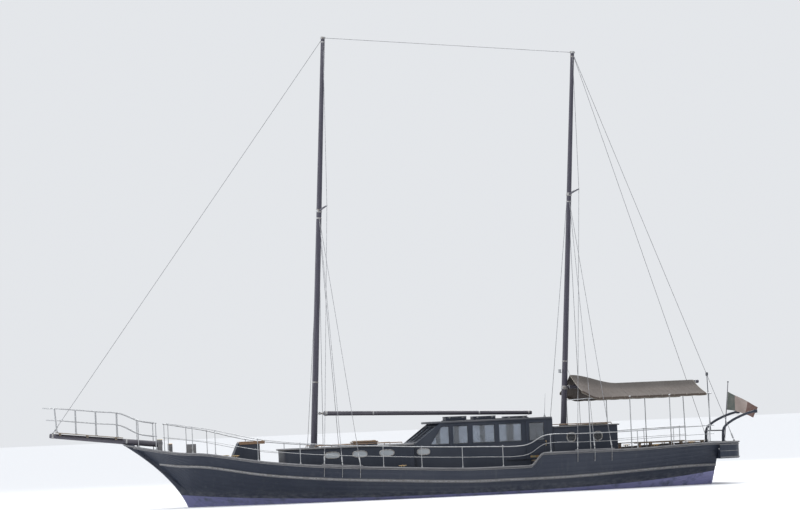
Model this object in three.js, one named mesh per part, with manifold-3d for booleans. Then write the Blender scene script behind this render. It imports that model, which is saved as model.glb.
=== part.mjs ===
// Two-masted wooden whale watching boat, afloat, about 23 m on deck and 27 m over the bowsprit.
// Millimetres. +X is forward, +Y is port, +Z is up. The origin is on the centreline at the
// waterline, halfway along it.
import * as THREE from "three";
import { mergeVertices } from "three/addons/utils/BufferGeometryUtils.js";
import Module from "manifold-3d";

const wasm = await Module();
wasm.setup();

// Driving dimensions
const seam = 0.3;
const bearing = 1;
const round = 24;
const stem = { footX: 9770, headX: 12110, headZ: 2420, lean: 1020, sweep: 1320 };
const transomX = -9800;
const galleryX = -10600;
const bulwark = { depth: 280, thickness: 60, foreX: 11700 };
const capRail = { height: 60, out: 50, inward: 40 };
const plank = 40;
const waterway = 2;
const step = { mainX: -2750, quarterX: -2800, railForeX: -2500, railAftX: -3050 };
const quarterRail = { z: 1480, rise: 90 };
const strake = { below: 500, half: 60, out: 60 };
const keelSize = { half: 110, depth: 2300, aftX: -8000 };
const shaft = { z: -1150, radius: 38, propX: -8230, propRadius: 400, reach: 380 };
const rudderSize = { x: -8560, half: 45, top: -330, bottom: -2180, aftX: -9350, stock: 55 };

const trunk = { foreX: 6300, aftX: 1600, half: 1900, top: 2000, roof: 50 };
const house = { foreX: 1550, rakeX: 550, aftX: -3650, half: 1650, wall: 45, roofTop: 2770, roofThick: 70 };
const sill = 1910;
const head = 2580;
const glass = 8;
const door = { foreX: -2640, aftX: -3420, travel: 760, thickness: 40, foot: 1262, top: 2660, clear: 8 };
const doorTrack = { half: 12, out: 62 };
const doorHead = 2610;
const aftHouse = { foreX: -3650, aftX: -6100, half: 1600, top: 2400 };
const companion = { foreX: 8270, topX: 7920, aftX: 7150, half: 420, top: 2290, slideAftX: 6950 };

const foreStep = { x: 5080, z: 2000 };
const mizzenStep = { x: -4378, z: 2400 };
const foreSpar = { length: 15290, rake: 0.0647, foot: 120, head: 75, spreader: 8800 };
const mizzenSpar = { length: 14080, rake: 0.0706, foot: 110, head: 70, spreader: 8700 };
const boomSize = { radius: 85, pin: 14, length: 8000, heelZ: 3260, endZ: 2955, gooseneck: 190 };
const ridge = { foreX: -4710, lowX: -6500, aftX: -9410, foreZ: 4320, aftZ: 3950 };
const awning = { edgeZ: 3420, half: 2200, cloth: 24, sag: 55 };
const sprit = { tipX: 14850, tipZ: 2860, heelX: 10700, radius: 110, tipRadius: 85, slope: 0.12 };
const wire = 9;

// Colours and finishes
const paint = (color, roughness, metalness = 0) => {
  return new THREE.MeshStandardMaterial({ color, roughness, metalness });
};
const hullPaint = paint(0x3c4350, 0.5);
const bottomPaint = paint(0x5c5e80, 0.7);
const railPaint = paint(0x6a6f78, 0.55);
const teak = paint(0x6f6252, 0.8);
const housePaint = paint(0x3a414e, 0.5);
const spar = paint(0x4a4a58, 0.55);
const steel = paint(0xc9ccd1, 0.3, 0.9);
const bronze = paint(0x8a6b3f, 0.4, 0.9);
const pane = paint(0x6d7582, 0.1);
pane.transparent = true;
pane.opacity = 0.4;
const cloth = paint(0x776e68, 0.9);
const flagCloth = paint(0xa9a090, 0.9);
const greyPlastic = paint(0x8d9298, 0.6);

// Columns: x, underside of the planking z, half breadth at the waterline, half breadth at the rail
const stations = [
  [-9800, -60, 700, 2300],
  [-9000, -420, 1220, 2440],
  [-7500, -860, 1800, 2670],
  [-5000, -1230, 2360, 2920],
  [-2500, -1340, 2640, 3030],
  [0, -1350, 2700, 3050],
  [2500, -1320, 2500, 3000],
  [5000, -1230, 1900, 2830],
  [7000, -1080, 1150, 2420],
  [8500, -850, 500, 1900],
  [9300, -520, 170, 1590],
  [9770, 0, 0, 1390],
  [10400, 0, 0, 1060],
  [11000, 0, 0, 730],
  [11500, 0, 0, 440],
  [12110, 0, 0, 90],
];

// Columns: x, top of the main cap rail z
const sheer = [
  [-9800, 1000],
  [-2100, 1030],
  [-200, 1040],
  [2080, 1160],
  [4800, 1340],
  [7100, 1590],
  [9180, 1960],
  [10360, 2070],
  [12110, 2420],
];

// Cubic through the rows of a table whose first column rises, with slopes from the neighbours
const along = (table, column, x) => {
  const last = table.length - 2;
  let i = 0;
  while (i < last && x > table[i + 1][0]) i++;
  const slope = (k) => {
    const a = table[Math.max(k - 1, 0)];
    const b = table[Math.min(k + 1, table.length - 1)];
    return (b[column] - a[column]) / (b[0] - a[0]);
  };
  const width = table[i + 1][0] - table[i][0];
  const t = Math.min(Math.max((x - table[i][0]) / width, 0), 1);
  const from = table[i][column];
  const to = table[i + 1][column];
  return (
    from * (1 + 2 * t) * (1 - t) ** 2 + slope(i) * width * t * (1 - t) ** 2 +
    to * t * t * (3 - 2 * t) - slope(i + 1) * width * t * t * (1 - t)
  );
};

const blend = (a, b, x) => {
  const t = Math.min(Math.max((x - a) / (b - a), 0), 1);
  return t * t * (3 - 2 * t);
};

// Concave clipper stem: how far forward its face is at a height, and the height at an x.
const stemX = (z) => stem.footX + stem.lean * (z / stem.headZ) + stem.sweep * (z / stem.headZ) ** 2;
const stemZ = (x) => {
  const root = Math.sqrt(stem.lean ** 2 + 4 * stem.sweep * (x - stem.footX));
  return (stem.headZ * (root - stem.lean)) / (2 * stem.sweep);
};
const bottomZ = (x) => (x > stem.footX ? stemZ(x) : along(stations, 1, x));
const quarterRailZ = (x) => quarterRail.z + quarterRail.rise * blend(-6000, -9500, x);
const railZ = (x) => {
  const up = blend(step.railForeX, step.railAftX, x);
  return along(sheer, 1, x) * (1 - up) + quarterRailZ(x) * up;
};
const deckZ = (x) => (x > step.quarterX + 1 ? along(sheer, 1, x) : quarterRailZ(x)) - bulwark.depth;

// Half breadth of the planking: wineglass below the water, flared above it, most at the bow.
const halfBreadth = (x, z) => {
  const low = bottomZ(x);
  const wide = Math.max(along(stations, 3, x), 60);
  const water = Math.max(along(stations, 2, x), 0);
  const flare = 0.65 + 0.8 * blend(1000, 9700, x) + 0.3 * blend(-4000, -9800, x);
  if (x > stem.footX) return Math.max(60, wide * Math.max((z - low) / (railZ(x) - low), 0) ** flare);
  if (z >= 0) return Math.max(60, water + (wide - water) * (z / railZ(x)) ** flare);
  const t = Math.min(Math.max((z - low) / -low, 0), 1);
  return Math.max(60, water * (0.35 * t + 0.65 * Math.sqrt(1 - (1 - t) ** 2)));
};

// Closed meshes

const triangles = (points, faces) => {
  const volume = faces.reduce((sum, [a, b, c]) => {
    const [p, q, r] = [points[a], points[b], points[c]].map((corner) => new THREE.Vector3(...corner));
    return sum + p.dot(q.cross(r));
  }, 0);
  const order = volume < 0 ? faces.map(([a, b, c]) => [a, c, b]) : faces;
  const geometry = new THREE.BufferGeometry();
  geometry.setAttribute("position", new THREE.Float32BufferAttribute(points.flat(), 3));
  geometry.setIndex(order.flat());
  return geometry;
};

// The faces that close one end of a loft, turned the way the ring runs.
const capFaces = (ring, first) => {
  const values = (k) => ring.map((point) => point[k]);
  const spread = [0, 1, 2].map((k) => Math.max(...values(k)) - Math.min(...values(k)));
  const flat = spread.indexOf(Math.min(...spread));
  const [u, v] = [0, 1, 2].filter((k) => k !== flat);
  const contour = ring.map((p) => new THREE.Vector2(p[u], p[v]));
  const faces = THREE.ShapeUtils.triangulateShape(contour, []);
  const area = (list) => THREE.ShapeUtils.area(list.map((k) => contour[k]));
  const same = Math.sign(area(faces[0])) === Math.sign(THREE.ShapeUtils.area(contour));
  const turned = same ? faces : faces.map(([a, b, c]) => [a, c, b]);
  return turned.map((face) => face.map((k) => first + k));
};

// A skin over rings that all have the same number of points.
const loft = (rings) => {
  const count = rings[0].length;
  const faces = [];
  for (let i = 0; i + 1 < rings.length; i++) {
    for (let j = 0; j < count; j++) {
      const a = i * count + j;
      const b = i * count + ((j + 1) % count);
      faces.push([a, b, b + count], [a, b + count, a + count]);
    }
  }
  capFaces(rings[0], 0).forEach(([a, b, c]) => faces.push([a, c, b]));
  capFaces(rings[rings.length - 1], (rings.length - 1) * count).forEach((face) => faces.push(face));
  return triangles(rings.flat(), faces);
};

const box = (x, y, z) => {
  const geometry = new THREE.BoxGeometry(x[1] - x[0], y[1] - y[0], z[1] - z[0]);
  return geometry.translate((x[0] + x[1]) / 2, (y[0] + y[1]) / 2, (z[0] + z[1]) / 2);
};

// A round bar between two points, with its own radius at each end.
const bar = (from, to, radius, endRadius = radius, sides = 8) => {
  const a = new THREE.Vector3(...from);
  const b = new THREE.Vector3(...to);
  const geometry = new THREE.CylinderGeometry(endRadius, radius, a.distanceTo(b), sides);
  const direction = b.clone().sub(a).normalize();
  geometry.applyQuaternion(new THREE.Quaternion().setFromUnitVectors(new THREE.Vector3(0, 1, 0), direction));
  const middle = a.add(b).multiplyScalar(0.5);
  return geometry.translate(middle.x, middle.y, middle.z);
};

// A round tube along a smooth curve through the points.
const tube = (points, radius, steps, sides = 8) => {
  const path = new THREE.CatmullRomCurve3(points.map((p) => new THREE.Vector3(...p)));
  const section = new THREE.Shape();
  section.absarc(0, 0, radius, 0, 2 * Math.PI);
  const curveSegments = sides / 2;
  return new THREE.ExtrudeGeometry(section, { steps, extrudePath: path, bevelEnabled: false, curveSegments });
};

// A flat outline of [x, z] points, as thick as the stretch of y.
const plate = (outline, y) => {
  const shape = new THREE.Shape(outline.map(([x, z]) => new THREE.Vector2(x, z)));
  const geometry = new THREE.ExtrudeGeometry(shape, { depth: y[1] - y[0], bevelEnabled: false });
  return geometry.rotateX(Math.PI / 2).translate(0, y[1], 0);
};

// A flat outline of [x, y] points, as high as the stretch of z.
const slab = (outline, z, rounding = 0) => {
  const shape = new THREE.Shape(outline.map(([x, y]) => new THREE.Vector2(x, y)));
  const bevel = { bevelSegments: 1, bevelSize: rounding, bevelThickness: rounding, bevelOffset: -rounding };
  const depth = z[1] - z[0] - 2 * rounding;
  const geometry = new THREE.ExtrudeGeometry(shape, { depth, bevelEnabled: rounding > 0, ...bevel });
  return geometry.translate(0, 0, z[0] + rounding);
};

const solid = (geometry) => {
  const bare = geometry.clone();
  bare.deleteAttribute("normal");
  bare.deleteAttribute("uv");
  const merged = mergeVertices(bare, 0.001);
  const mesh = { numProp: 3, vertProperties: merged.attributes.position.array, triVerts: merged.index.array };
  return new wasm.Manifold(new wasm.Mesh({ ...mesh, triVerts: new Uint32Array(mesh.triVerts) }));
};
const join = (...pieces) => pieces.map(solid).reduce((sum, piece) => sum.add(piece));
const cut = (whole, ...tools) => tools.reduce((rest, tool) => rest.subtract(solid(tool)), whole);
const largest = (whole) => whole.decompose().sort((a, b) => b.volume() - a.volume())[0];

const geometryOf = (manifold) => {
  const mesh = manifold.getMesh();
  const geometry = new THREE.BufferGeometry();
  const points = [];
  for (let i = 0; i < mesh.vertProperties.length; i += mesh.numProp) {
    points.push(...mesh.vertProperties.subarray(i, i + 3));
  }
  geometry.setAttribute("position", new THREE.Float32BufferAttribute(points, 3));
  geometry.setIndex([...mesh.triVerts]);
  return geometry;
};

const boat = new THREE.Group();
const add = (name, shape, material, parent = boat) => {
  const mesh = new THREE.Mesh(shape.isBufferGeometry ? shape : geometryOf(shape), material);
  mesh.name = name;
  parent.add(mesh);
  return mesh;
};
const sides = [
  ["port", 1],
  ["starboard", -1],
];
const mirrored = (points, side) => points.map(([x, y, z]) => [x, y * side, z]);

// Hull, solid up to the underside of the deck planks
const levels = [0, 0.05, 0.14, 0.28, 0.45, 0.62, 0.8, 1];
const hullTopZ = (x) => deckZ(x) - plank;
const hullRing = (x, grown = 0) => {
  const low = bottomZ(x);
  const port = levels.map((f) => {
    const z = low + f * (hullTopZ(x) - low);
    return [x, halfBreadth(x, z) + grown, z + (f < 1 ? -grown : grown)];
  });
  return [...port, ...mirrored(port, -1).reverse()];
};
const hullXs = [
  transomX, -9000, -8000, -7000, -6000, -5000, -4000,
  step.railAftX, step.quarterX, step.mainX, step.railForeX,
  -1500, 0, 1500, 3000, 4500, 6000, 7200, 8200, 9000, 9500, 9900, 10400, 10900, 11350, 11600,
];
const soleZ = deckZ(-2000);
const soleAftX = house.aftX + house.wall;
const stairwell = box([soleAftX, -2700], [60 - house.half, house.half - 60], [soleZ - plank, 1400]);
const stockHole = rudderSize.stock + bearing;
const rudderPort = bar([rudderSize.x, 0, -900], [rudderSize.x, 0, -150], stockHole, stockHole, round);
const hull = cut(solid(loft(hullXs.map((x) => hullRing(x)))), stairwell, rudderPort);
add("hull", hull, hullPaint);

const hullSpace = loft(hullXs.map((x) => hullRing(x, seam)));

// Bulwarks stand on the hull's edge and carry on its flare up to the cap rail
const bulwarkXs = [...hullXs, bulwark.foreX];
const bulwarkRing = (x) => {
  const low = hullTopZ(x) + seam;
  const top = railZ(x) - capRail.height - seam;
  const middle = (low + top) / 2;
  const narrowest = keelSize.half + bulwark.thickness + 2 * seam;
  const outer = [low, middle, top].map((z) => [x, Math.max(halfBreadth(x, z), narrowest), z]);
  return [...outer, ...outer.map(([, y, z]) => [x, y - bulwark.thickness, z]).reverse()];
};
for (const [side, sign] of sides) {
  const ring = (x) => mirrored(bulwarkRing(x), sign);
  add(`bulwark_${side}`, loft(bulwarkXs.map(ring)), hullPaint);
}

// A band along the sheer: y from and to the planking's surface, z from and to the given line
const band = (xs, line, out, low, high, sign) =>
  loft(
    xs.map((x) => {
      const z = line(x);
      const at = (offset, height) => {
        const y = Math.max(halfBreadth(x, z + height) + offset, keelSize.half + 2 * seam);
        return [x, sign * y, z + height];
      };
      return [at(out[0], low), at(out[1], low), at(out[1], high), at(out[0], high)];
    }),
  );
const strakeXs = bulwarkXs.filter((x) => x < 11000 && (x < step.railAftX || x > step.railForeX));
const strakeZ = (x) => along(sheer, 1, x) - strake.below + 230 * blend(-3000, -9500, x);
for (const [side, sign] of sides) {
  const capLine = (x) => railZ(x);
  const capOut = [-bulwark.thickness - capRail.inward, capRail.out];
  add(`cap_rail_${side}`, band(bulwarkXs, capLine, capOut, -capRail.height, 0, sign), railPaint);
  const rubbing = band(strakeXs, strakeZ, [-strake.out, strake.out], -strake.half, strake.half, sign);
  add(`rub_strake_${side}`, largest(cut(solid(rubbing), hullSpace)), railPaint);
}

// Decks lie on the hull between the bulwarks
const deckRing = (x) => {
  const [low, top] = [hullTopZ(x) + seam, deckZ(x)];
  const edge = (z) => Math.min(halfBreadth(x, low), halfBreadth(x, z)) - bulwark.thickness - waterway;
  return [[x, edge(low), low], [x, edge(top), top], [x, -edge(top), top], [x, -edge(low), low]];
};
const foreDeckXs = [step.mainX + 10, ...hullXs.filter((x) => x > step.mainX && x < 11351)];
const tongue = box([soleAftX + 5, -2600], [65 - house.half, house.half - 65], [soleZ - plank + seam, soleZ]);
add("main_deck", join(loft(foreDeckXs.map(deckRing)), tongue), teak);
const quarterDeckXs = [transomX, ...hullXs.filter((x) => x > transomX && x < step.mainX)];
const stairCut = box([soleAftX - 5, -2600], [55 - house.half, house.half - 55], [600, 1500]);
add("quarter_deck", cut(solid(loft(quarterDeckXs.map(deckRing))), stairCut), teak);

// The height of a line at an x, as it lies straight between frames, with the seam on top
const between = (line, x) => {
  const aft = Math.max(...hullXs.filter((frame) => frame <= x));
  const fore = Math.min(...bulwarkXs.filter((frame) => frame > x));
  return line(aft) + ((line(fore) - line(aft)) * (x - aft)) / (fore - aft) + seam;
};
const deckUnder = (x) => between(deckZ, x);
const railUnder = (x) => between(railZ, x);
const onRail = (x, radius) => Math.max(...[x - radius, x, x + radius].map(railUnder)) + seam;
const foot = (aftX, foreX) => {
  const frames = hullXs.filter((x) => x > aftX && x < foreX);
  return [aftX, ...frames, foreX].map((x) => [x, deckUnder(x)]);
};

// Overhanging stern gallery with rounded corners, open to the quarterdeck
const galleryOutline = (inset, foreX) => {
  const [half, aft, curve] = [2300 - inset, galleryX + inset, 420 - inset];
  const corner = (sign) =>
    [0, 0.25, 0.5, 0.75, 1].map((t) => {
      const angle = (t * Math.PI) / 2;
      return [aft + curve * (1 - Math.sin(angle)), sign * (half - curve * (1 - Math.cos(angle)))];
    });
  return [[foreX, half], ...corner(1), ...corner(-1).reverse(), [foreX, -half]];
};
const galleryFloor = deckZ(transomX);
const galleryTop = railZ(transomX) - capRail.height - seam;
const galleryFore = transomX - seam;
const gallerySolid = cut(
  solid(slab(galleryOutline(0, galleryFore), [940, galleryTop])),
  slab(galleryOutline(bulwark.thickness, galleryFore + 10), [galleryFloor, galleryTop + 10]),
);
add("stern_gallery", gallerySolid, hullPaint);
const taffLow = galleryTop + seam;
const taffTop = taffLow + capRail.height;
const taffInside = bulwark.thickness + capRail.inward;
const taffrail = cut(
  solid(slab(galleryOutline(-capRail.out, galleryFore), [taffLow, taffTop])),
  slab(galleryOutline(taffInside, galleryFore + 10), [taffLow - 10, taffTop + 10]),
);
add("taffrail", taffrail, railPaint);

// Keel, stem and sternpost are one line of timber under the planking
const stemFace = [0, 0.2, 0.4, 0.6, 0.8, 1].map((t) => [stemX(t * stem.headZ) + 60, t * stem.headZ]);
const keelOutline = [
  [keelSize.aftX, -500],
  [keelSize.aftX, -keelSize.depth],
  [2500, -2180],
  [6600, -1780],
  [8200, -1300],
  [9250, -640],
  [9700, -180],
  ...stemFace,
  [stem.headX - 330, stem.headZ],
  [11460, 2080],
  [11340, 1880],
  [10300, 1000],
  [9300, 100],
  [8000, -400],
  [-7000, -400],
];
const heelTop = -keelSize.depth + 110;
const heelAft = rudderSize.x - 100;
const heelFore = keelSize.aftX + 100;
const skeg = box([heelAft, heelFore], [-90, 90], [-keelSize.depth, heelTop]);
const shaftAt = (x) => [x, 0, shaft.z];
const shaftTube = bar(shaftAt(keelSize.aftX - 90), shaftAt(keelSize.aftX + 300), 95, 110, 12);
const timber = join(plate(keelOutline, [-keelSize.half, keelSize.half]), skeg, shaftTube);
const boreEnd = keelSize.aftX + 160;
const boreRadius = shaft.radius + bearing;
const shaftHole = bar(shaftAt(keelSize.aftX - 400), shaftAt(boreEnd), boreRadius, boreRadius, round);
const pintle = 40;
const pintleBore = pintle + bearing;
const pintleHole = bar([rudderSize.x, 0, -2400], [rudderSize.x, 0, -2100], pintleBore, pintleBore, round);

// Rudder on its stock between the hull and the heel of the keel
const blade = plate(
  [
    [rudderSize.x - 20, rudderSize.bottom],
    [rudderSize.aftX, rudderSize.bottom + 220],
    [rudderSize.aftX - 40, rudderSize.top - 60],
    [rudderSize.x - 20, rudderSize.top - 320],
  ],
  [-rudderSize.half, rudderSize.half],
);
const stockAt = (z) => [rudderSize.x, 0, z];
const rudderStock = bar(stockAt(rudderSize.bottom), stockAt(-180), rudderSize.stock, rudderSize.stock, round);
const rudderPin = bar(stockAt(-2290), stockAt(rudderSize.bottom + 20), pintle, pintle, round);
add("rudder", join(blade, rudderStock, rudderPin), bottomPaint);

// Three-bladed propeller on its shaft, in the gap ahead of the rudder
const propBlades = [0, 1, 2].map((k) => {
  const trailing = [[-60, 0], [-150, 220], [-130, 370]];
  const leading = [[110, 370], [120, 220], [60, 0]];
  const outline = [...trailing, [-20, shaft.propRadius], ...leading];
  return plate(outline, [-14, 14]).rotateZ(Math.PI / 2 - 0.5).rotateX((k * 2 * Math.PI) / 3);
});
const hub = bar([-110, 0, 0], [85, 0, 0], 45, 75, 12);
const propShaft = bar([0, 0, 0], [shaft.reach, 0, 0], shaft.radius, shaft.radius, round);
const propeller = add("propeller", join(hub, propShaft, ...propBlades), bronze);
propeller.position.set(shaft.propX, 0, shaft.z);

// Bitts and windlass on one bed plate on the foredeck; the bowsprit's heel lies between the bitts
const spritZ = (x) => sprit.tipZ - (sprit.tipX - x) * sprit.slope;
const spritAt = (x) => [x, 0, spritZ(x)];
const spritBar = (grown) =>
  bar(spritAt(sprit.heelX), spritAt(sprit.tipX), sprit.radius + grown, sprit.tipRadius + grown, 12);
const bedZ = 1990;
const bed = plate([...foot(9350, 10900), [10900, 2000], [9350, 1810]], [-290, 290]);
const upright = (x, sign, middle, half, z) => box(x, [sign * middle - half, sign * middle + half], z);
const bitts = [-1, 1].flatMap((sign) => [
  upright([10720, 10880], sign, 200, 75, [bedZ - 60, 2540]),
  upright([10350, 10490], sign, 200, 60, [bedZ - 100, 2370]),
]);
const heelBlock = box([10730, 10870], [-150, 150], [bedZ - 60, 2330]);
const cheeks = [-1, 1].map((sign) => upright([9480, 9800], sign, 240, 30, [bedZ - 180, 2330]));
const windlass = { x: 9640, z: 2180, shaft: 40 };
const windlassBore = windlass.shaft + bearing;
const windlassAt = (y) => [windlass.x, y, windlass.z];
const drumHole = bar(windlassAt(-400), windlassAt(400), windlassBore, windlassBore, round);
const foregear = cut(join(bed, ...bitts, heelBlock, ...cheeks), drumHole, spritBar(seam));
add("windlass_and_bitts", foregear, railPaint);
const drum = join(
  bar([0, -330, 0], [0, 330, 0], windlass.shaft, windlass.shaft, round),
  bar([0, -200, 0], [0, -60, 0], 105, 105, 12),
  bar([0, 60, 0], [0, 200, 0], 105, 105, 12),
  bar([0, -60, 0], [0, 60, 0], 80, 80, 12),
);
add("windlass_drum", drum, steel).position.set(windlass.x, 0, windlass.z);

// Bowsprit with its plank walkway and pulpit rail
add("bowsprit", spritBar(0), spar);
add("keel", largest(cut(timber, hullSpace, shaftHole, pintleHole, spritBar(seam))), bottomPaint);
const walkway = { foreX: 14620, aftX: 12150, half: 290, thick: 30 };
const walkLine = (x) => spritZ(x) + sprit.radius + 8;
const walkTop = (x) => walkLine(x) + walkway.thick;
const walkOutline = [
  [walkway.aftX, walkLine(walkway.aftX)],
  [walkway.foreX, walkLine(walkway.foreX)],
  [walkway.foreX, walkTop(walkway.foreX)],
  [walkway.aftX, walkTop(walkway.aftX)],
];
const walkSlots = [-1, 1].map((sign) =>
  slab([[12300, sign * 95], [14500, sign * 95], [14500, sign * 125], [12300, sign * 125]], [2000, 3500]),
);
const bearer = (x) => box([x - 40, x + 40], [-150, 150], [spritZ(x) + 40, walkLine(x) + 10]);
const bearers = [12400, 13450, 14450].map(bearer);
const walkBoards = join(plate(walkOutline, [-walkway.half, walkway.half]), ...bearers);
add("bowsprit_walkway", cut(walkBoards, spritBar(seam), ...walkSlots), teak);
const pulpit = { height: 880, aftHeight: 980, tube: 21, post: 17, foot: 270, noseY: 215, lean: 60 };
const guardY = (x) => Math.max(halfBreadth(x, railZ(x)) + 8, pulpit.foot - 8);
const pulpitPoint = (x, part) =>
  x < walkway.aftX
    ? [x, guardY(x), railZ(x) + part * pulpit.aftHeight]
    : [x, pulpit.foot, walkTop(x) + part * pulpit.height];
const pulpitRail = (part, lean) => {
  const port = [10950, 11550, 12250, 13000, 13800, 14500].map((x) => pulpitPoint(x, part));
  const fore = port[port.length - 1][2];
  const nose = [14760 + lean, 180, fore + 25];
  const tip = [14840 + lean, 0, fore + 30];
  return tube([...port, nose, tip, ...mirrored([...port, nose].reverse(), -1)], pulpit.tube, 32);
};
const pulpitPost = (x, sign) => {
  const lean = x > 14500 ? pulpit.lean : 0;
  const topY = lean ? pulpit.noseY : pulpitPoint(x, 1)[1];
  const slope = sprit.slope + lean / pulpit.height;
  const seat = x < walkway.aftX ? onRail(x, pulpit.post) : walkTop(x) + pulpit.post * slope;
  const top = [x + lean, sign * topY, pulpitPoint(x, 1)[2]];
  return bar([x, sign * pulpitPoint(x, 0)[1], seat + 2 * seam], top, pulpit.post, pulpit.post, 6);
};
const pulpitPosts = [10980, 11600, 12350, 13120, 13860, 14560].flatMap((x) =>
  sides.map(([, sign]) => pulpitPost(x, sign)),
);
add("pulpit_rail", join(pulpitRail(1, 200), pulpitRail(0.5, 90), ...pulpitPosts), steel);

// Fore companion: a hatch house with a sloped front and a sliding top that overhangs aft
const companionSides = [-companion.half, companion.half];
const companionTop = [[companion.topX, companion.top], [companion.aftX, companion.top]];
const companionBody = plate([...foot(companion.aftX, companion.foreX), ...companionTop], companionSides);
const wellSides = [45 - companion.half, companion.half - 45];
const companionWell = box([companion.aftX + 45, companion.topX - 40], wellSides, [1780, 2400]);
add("fore_companion", cut(solid(companionBody), companionWell), housePaint);
const slideX = [companion.slideAftX, companion.topX - 20];
const slideLow = companion.top + 2 * seam;
const slideTop = box(slideX, [-companion.half - 30, companion.half + 30], [slideLow, slideLow + 50]);
const slideCheeks = [-1, 1].map((sign) =>
  upright(slideX, sign, companion.half + 18, 12, [slideLow - 60, slideLow + 10]),
);
add("companion_slide", join(slideTop, ...slideCheeks), teak);

// Trunk cabin with a rounded front, and the frame of the skylight hatch on its roof
const trunkSide = [
  [trunk.aftX, trunk.half],
  [trunk.foreX - 700, trunk.half - 110],
  [trunk.foreX - 180, trunk.half - 420],
  [trunk.foreX, trunk.half - 900],
];
const trunkPlan = [...trunkSide, ...trunkSide.map(([x, y]) => [x, -y]).reverse()];
const trunkWalls = solid(slab(trunkPlan, [600, trunk.top - trunk.roof]));
const trunkFoot = foot(trunk.aftX - 50, trunk.foreX + 50);
const trunkUnder = plate([...trunkFoot, [trunk.foreX + 50, 300], [trunk.aftX - 50, 300]], [-2500, 2500]);
const overhang = trunkPlan.map(([x, y]) => [x + (x > 5000 ? 50 : 0), y + Math.sign(y) * 45]);
const trunkRoof = slab(overhang, [trunk.top - trunk.roof - 5, trunk.top]);
const skylight = { x: [2750, 3650], half: 420, coaming: 110, lid: 45 };
const coamingTop = trunk.top + skylight.coaming;
const coaming = box(skylight.x, [-skylight.half, skylight.half], [trunk.top - 10, coamingTop]);
const lightWell = [45 - skylight.half, skylight.half - 45];
const trunkWell = box([skylight.x[0] + 45, skylight.x[1] - 45], lightWell, [1750, 2300]);
const trunkCabin = cut(cut(trunkWalls, trunkUnder).add(join(trunkRoof, coaming)), trunkWell);
add("trunk_cabin", trunkCabin, housePaint);
const lidZ = coamingTop + 2 * seam;
const lidLong = skylight.x[1] - skylight.x[0] + 30;
const lid = box([0, lidLong], [-skylight.half - 20, skylight.half + 20], [0, skylight.lid]);
const lidLug = [-250, 250].map((y) => box([-45, 20], [y - 30, y + 30], [0, 30]));
add("skylight_lid", join(lid, ...lidLug), teak).position.set(skylight.x[0] - 15, 0, lidZ);

// Wheelhouse: raked front, two sides with a sliding door each, an aft wall and a roof
const wallTop = house.roofTop - house.roofThick - seam;
const rakeFoot = 1950;
const rake = (house.foreX - house.rakeX) / (wallTop - rakeFoot);
const frontX = (z) => house.foreX - Math.max(0, z - rakeFoot) * rake;
const inner = house.half - house.wall;
const sideOutline = [
  ...foot(house.aftX, step.quarterX),
  ...foot(step.mainX, house.foreX),
  [house.foreX, rakeFoot],
  [frontX(wallTop), wallTop],
  [house.aftX, wallTop],
];
const sideWindows = [
  [[950, sill], [230, sill], [230, head], [520, head]],
  [[90, sill], [-470, sill], [-470, head], [90, head]],
  [[-640, sill], [-1470, sill], [-1470, head], [-640, head]],
  [[-1630, sill], [-2480, sill], [-2480, head], [-1630, head]],
];
const doorwayX = [door.aftX + 40, door.foreX - 40];
const doorway = [
  [doorwayX[1], door.foot + 20],
  [doorwayX[0], door.foot + 20],
  [doorwayX[0], doorHead],
  [doorwayX[1], doorHead],
];
const pool = (sign, from, to) => [from * sign, to * sign].sort((a, b) => a - b);
const glazingOutline = [[1010, sill - 30], [-2520, sill - 30], [-2520, head + 30], [470, head + 30]];
for (const [side, sign] of sides) {
  const cuts = [...sideWindows, doorway].map((outline) => plate(outline, [-2000, 2000]));
  const wall = solid(plate(sideOutline, pool(sign, inner, house.half)));
  const trackZs = [door.foot - doorTrack.half - 2 * seam, door.top + doorTrack.half - 5];
  const trackX = [door.aftX - 20, door.foreX + door.travel + 20];
  const trackY = pool(sign, house.half - 5, house.half + doorTrack.out);
  const tracks = trackZs.map((z) => box(trackX, trackY, [z - doorTrack.half, z + doorTrack.half]));
  add(`wheelhouse_${side}`, cut(wall, ...cuts).add(join(...tracks)), housePaint);
  const glazingY = pool(sign, inner - seam, inner - seam - glass);
  const glazing = plate(glazingOutline, glazingY);
  add(`wheelhouse_glass_${side}`, glazing, pane);
  const leaf = solid(box([door.aftX, door.foreX], pool(sign, 0, door.thickness), [door.foot, door.top - 10]));
  const stile = 110;
  const light = box([door.aftX + stile, door.foreX - stile], [-100, 100], [sill, head]);
  const panel = add(`door_${side}`, cut(leaf, light), housePaint);
  panel.position.set(0, sign * (house.half + door.clear), 0);
  const gap = stile + 0.5;
  const doorPane = box([door.aftX + gap, door.foreX - gap], pool(sign, 14, 26), [sill + 0.5, head - 0.5]);
  add(`door_glass_${side}`, doorPane, pane).position.copy(panel.position);
}

// The front wall stands between the sides, with three raked windows over a low trunk-top panel
const across = inner - seam;
const frontLow = trunk.top + seam;
const rakedWall = house.wall * 1.4;
const frontOutline = [
  [frontX(frontLow) - rakedWall, frontLow],
  [frontX(frontLow), frontLow],
  [frontX(wallTop), wallTop],
  [frontX(wallTop) - rakedWall, wallTop],
];
const screenCuts = [-1, 0, 1].map((k) => box([300, 1700], [k * 1010 - 460, k * 1010 + 460], [2080, head]));
add("wheelhouse_front", cut(solid(plate(frontOutline, [-across, across])), ...screenCuts), housePaint);
const screenX = (z) => frontX(z) - rakedWall - 2 * seam;
const screenOutline = [
  [screenX(2050) - glass, 2050],
  [screenX(2050), 2050],
  [screenX(head + 30), head + 30],
  [screenX(head + 30) - glass, head + 30],
];
add("wheelhouse_glass_front", plate(screenOutline, [-across + 20, across - 20]), pane);
const aftWall = box([house.aftX, house.aftX + house.wall], [-across, across], [deckUnder(-3700), wallTop]);
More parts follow.
